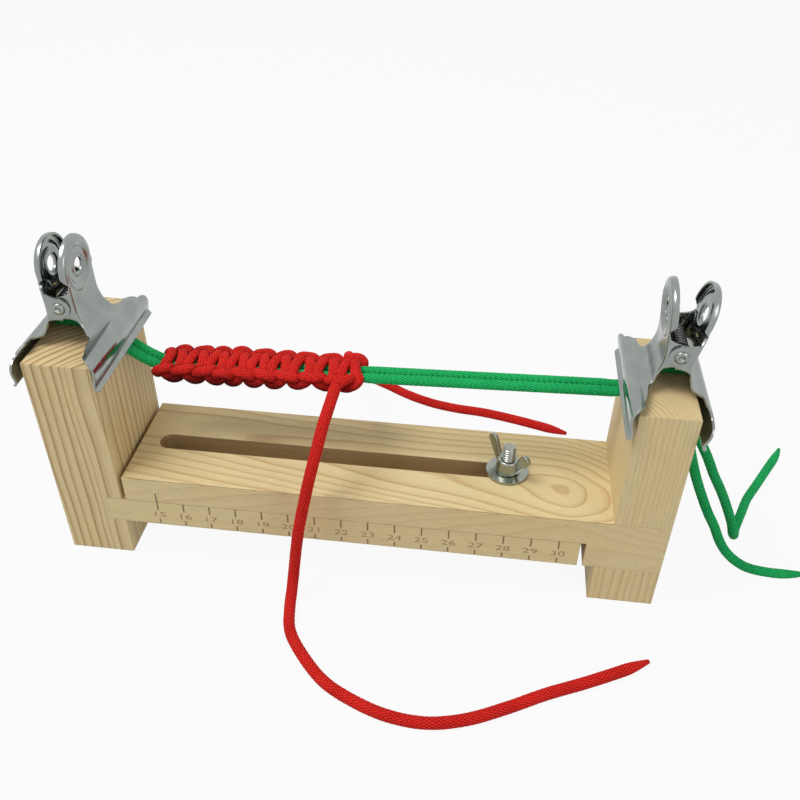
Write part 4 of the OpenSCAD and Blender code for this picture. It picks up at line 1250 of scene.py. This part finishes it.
for clip in ("left_clip", "right_clip"):
    pin = nodes[clip + "_pin"]
    box = np.array([tuple(pin.matrix_world @ Vector(corner)) for corner in pin.bound_box]) / MM
    (x, _, z), (_, tip, top) = (box.min(0) + box.max(0)) / 2, box.max(0)
    head = top - z
    half = [(0.5, tip - 0.75), (0.75, tip - 0.5), (0.9, tip - 0.12), (1.15, tip), (head - 0.75, tip - 0.05),
            (head - 0.2, tip - 0.3), (head, tip - 0.65), (head - 0.05, tip - 0.85), (PIN_R - 0.05, tip - 0.9)]
    points, faces = lathed([(r, -y) for r, y in half] + half[::-1], 40)
    rivet = new_piece(clip + "_rivet", [(x + px, pz, z - py) for px, py, pz in points], faces)
    rivet.data.set_sharp_from_angle(angle=SHARP)
    seat(rivet, nickel, clip, clip + "_pin")
    print(rivet.name, round(2 * tip, 2), "mm long")

# %% [markdown]
# ## The carriage bolt
#
# The bolt comes up through the slot with its round head and square neck below, so it can't turn while the nut
# is tightened. A thread painted on a cylinder wouldn't break the outline of the shank. Here it is a real
# spiral ridge: the mesh is a grid wrapped round the shank, whose radius rises and falls with the turn and
# the height together.

# %% The bolt's thread, head and square neck
BOLT_X = 55.0
BOLT_R, THREAD_DEPTH, THREAD_PITCH = 2.5, 0.48, 1.0
BOLT_FOOT, BOLT_TOP, CHAMFER = 21.0, 51.6, 0.4
HEAD_Z, HEAD_R, HEAD_TOP = 14.4, 6.0, 17.0
SQUARE_HALF, SQUARE_Z = 2.45, (16.95, 21.05)
THREAD_SIDES, ROWS_PER_TURN = 40, 10
FOUR_CORNERS = ((-1, -1), (1, -1), (1, 1), (-1, 1))

rows = int((BOLT_TOP - BOLT_FOOT) / THREAD_PITCH * ROWS_PER_TURN)
thread, thread_faces = lathed([(BOLT_R, BOLT_FOOT + (BOLT_TOP - BOLT_FOOT) * i / rows)
                               for i in range(rows + 1)], THREAD_SIDES)
thread = np.array(thread)
turn_share = np.tile(np.arange(THREAD_SIDES) / THREAD_SIDES, rows + 1)
flank = np.abs(np.mod(thread[:, 2] / THREAD_PITCH - turn_share, 1) * 2 - 1)
cut_in = THREAD_DEPTH * np.clip(1.35 * (1 - flank) - 0.15, 0, 1)
tapered = np.clip((thread[:, 2] - BOLT_TOP + 0.5) / 0.5, 0, 1) * CHAMFER
thread[:, :2] *= (np.minimum(BOLT_R - cut_in, BOLT_R - tapered) / BOLT_R)[:, None]
dome = [(HEAD_R * math.sin(a), HEAD_TOP - (HEAD_TOP - HEAD_Z) * math.cos(a))
        for a in np.linspace(0.15, math.pi / 2, 10)]
head = lathed([(0.6, HEAD_Z)] + dome + [(HEAD_R - 0.1, HEAD_TOP), (2.4, HEAD_TOP)], 40)
square = [(x * SQUARE_HALF, y * SQUARE_HALF, z) for z in SQUARE_Z for x, y in FOUR_CORNERS]
points, faces = joined([(thread, thread_faces), head, (square, tube_faces(2, 4))])
bolt = new_piece("threaded_bolt", np.array(points) + [BOLT_X, 0, 0], faces)
bolt.data.set_sharp_from_angle(angle=math.radians(40))
seat(bolt, zinc, "slider", "carriage_bolt")
print("bolt:", len(faces), "faces")

# %% [markdown]
# ## The wing nut
#
# The wing nut is a casting with no sharp corners. Rounding every edge where a wing runs into the hub would
# be slow work, so the rough shapes are only laid into each other: two flat wings and a ring. A voxel remesh
# then makes them one skin, and a little smoothing melts the edges as a mould does.

# %% The wing nut
NUT_Z = 40.4
HUB_R, HUB_H, BORE_R = 4.7, 5.6, 2.45
WING_SPAN, WING_RISE, WING_T, WING_TIP_R = 21.0, 12.0, 1.5, 2.2
WING_TURN = math.radians(-45)
VOXEL = 0.22

rim = turn_of(WING_SPAN / 2 - WING_TIP_R, WING_RISE - WING_TIP_R, -25, 155, WING_TIP_R - 0.1, 12)
wing_foot = rounded([(HUB_R - 0.2, 0.6), (6.3, 3.0), rim[0]], 6).tolist()
wing_back = rounded([rim[-1], (5.0, 7.6), (HUB_R - 1.0, HUB_H - 0.6), (BORE_R + 0.7, HUB_H - 0.8)], 6)
wing = wing_foot[:-1] + rim + wing_back[1:].tolist() + [(BORE_R + 0.7, 0.6)]
n = len(wing)
wing_faces = [list(range(n)), list(range(n, 2 * n))[::-1]]
wing_faces += [[i, n + i, n + (i + 1) % n, (i + 1) % n] for i in range(n)]
wings = [([(side * x, side * y, z) for y in (-WING_T / 2, WING_T / 2) for x, z in wing], wing_faces)
         for side in (1, -1)]
hub = [(BORE_R, 0.15), (HUB_R - 0.1, 0.15), (HUB_R, 0.5), (HUB_R - 0.75, HUB_H - 0.4), (HUB_R - 1.1, HUB_H),
       (BORE_R, HUB_H)]
points, faces = joined(wings + [lathed(hub, 48, ring=True)])
points = np.array(points)
turn = np.array([[math.cos(WING_TURN), -math.sin(WING_TURN)], [math.sin(WING_TURN), math.cos(WING_TURN)]])
points[:, :2] = points[:, :2] @ turn.T
nut = new_piece("cast_wing_nut", points + [BOLT_X, 0, NUT_Z], faces)
modified(nut, "REMESH", mode="VOXEL", voxel_size=VOXEL * MM)
modified(nut, "SMOOTH", factor=0.5, iterations=4)
applied(nut)
seat(nut, zinc, "nut", "wing_nut")
print("wing nut:", len(nut.data.polygons), "faces")

# %% [markdown]
# ## Floor and light
#
# The photograph is a shop picture on white. The floor is a large plain sheet that takes the jig's shadow.
# For the camera, and for what the steel mirrors, part of its colour is given by itself, so it comes out
# nearly white without more light on the object. The room is a plain white sky on the same terms. One large
# soft lamp stands high on the left and in front, and a weaker one fills from the right.

# %% Floor
FLOOR_HALF = 3.0
PAPER_WHITE, OWN_SHARE = 0.55, 0.93


def seen_directly(tree):
    """1 for what the camera, a mirror or glass shows, and 0 for light that falls on things."""
    ray = tree.add("LightPath").outputs
    return tree.math("MAXIMUM", ray["Is Camera Ray"],
                     tree.math("MAXIMUM", ray["Is Glossy Ray"], ray["Is Transmission Ray"]))


floor_mesh = bpy.data.meshes.new("floor")
floor_mesh.from_pydata([(x * FLOOR_HALF, y * FLOOR_HALF, 0) for x, y in FOUR_CORNERS], [], [(0, 1, 2, 3)])
floor = linked("floor", floor_mesh)
paper = Finish("white_paper", roughness=0.9)
paper.give(paper.shader, Base_Color=(PAPER_WHITE,) * 3, Specular_IOR_Level=0.1)
own_white = paper.read("Emission", Color=(1.0, 1.0, 1.0), Strength=1.0)
both = paper.read("MixShader", seen_directly(paper) * OWN_SHARE, paper.shader.outputs[0], own_white)
paper.set(paper.end.inputs[0], both)
wear(floor, paper)
print("floor:", 2 * FLOOR_HALF, "m wide")

# %% Room light
ROOM_LIGHT = 0.42
LAMP_SIZE, LAMP_AIM = 0.5, Vector((0, 0, 0.05))

room = bpy.data.worlds.new("pale_room")
bpy.context.scene.world = room
room.use_nodes = True
air = Nodes(room.node_tree)
strength = air.read("MapRange", seen_directly(air), To_Min=ROOM_LIGHT, To_Max=1.0)
air.add("OutputWorld", air.read("Background", Color=(1, 1, 1), Strength=strength))

for name, at, watts in (("key_lamp", (-0.4, -0.2, 1.0), 6.6), ("fill_lamp", (0.7, -0.5, 0.5), 1.5)):
    lamp_data = bpy.data.lights.new(name, "AREA")
    lamp_data.shape, lamp_data.size, lamp_data.energy = "SQUARE", LAMP_SIZE, watts
    lamp = linked(name, lamp_data)
    lamp.location = at
    lamp.rotation_euler = (LAMP_AIM - Vector(at)).to_track_quat("-Z", "Y").to_euler()
    print(name, watts, "W")
bpy.context.scene.view_settings.view_transform = "Standard"
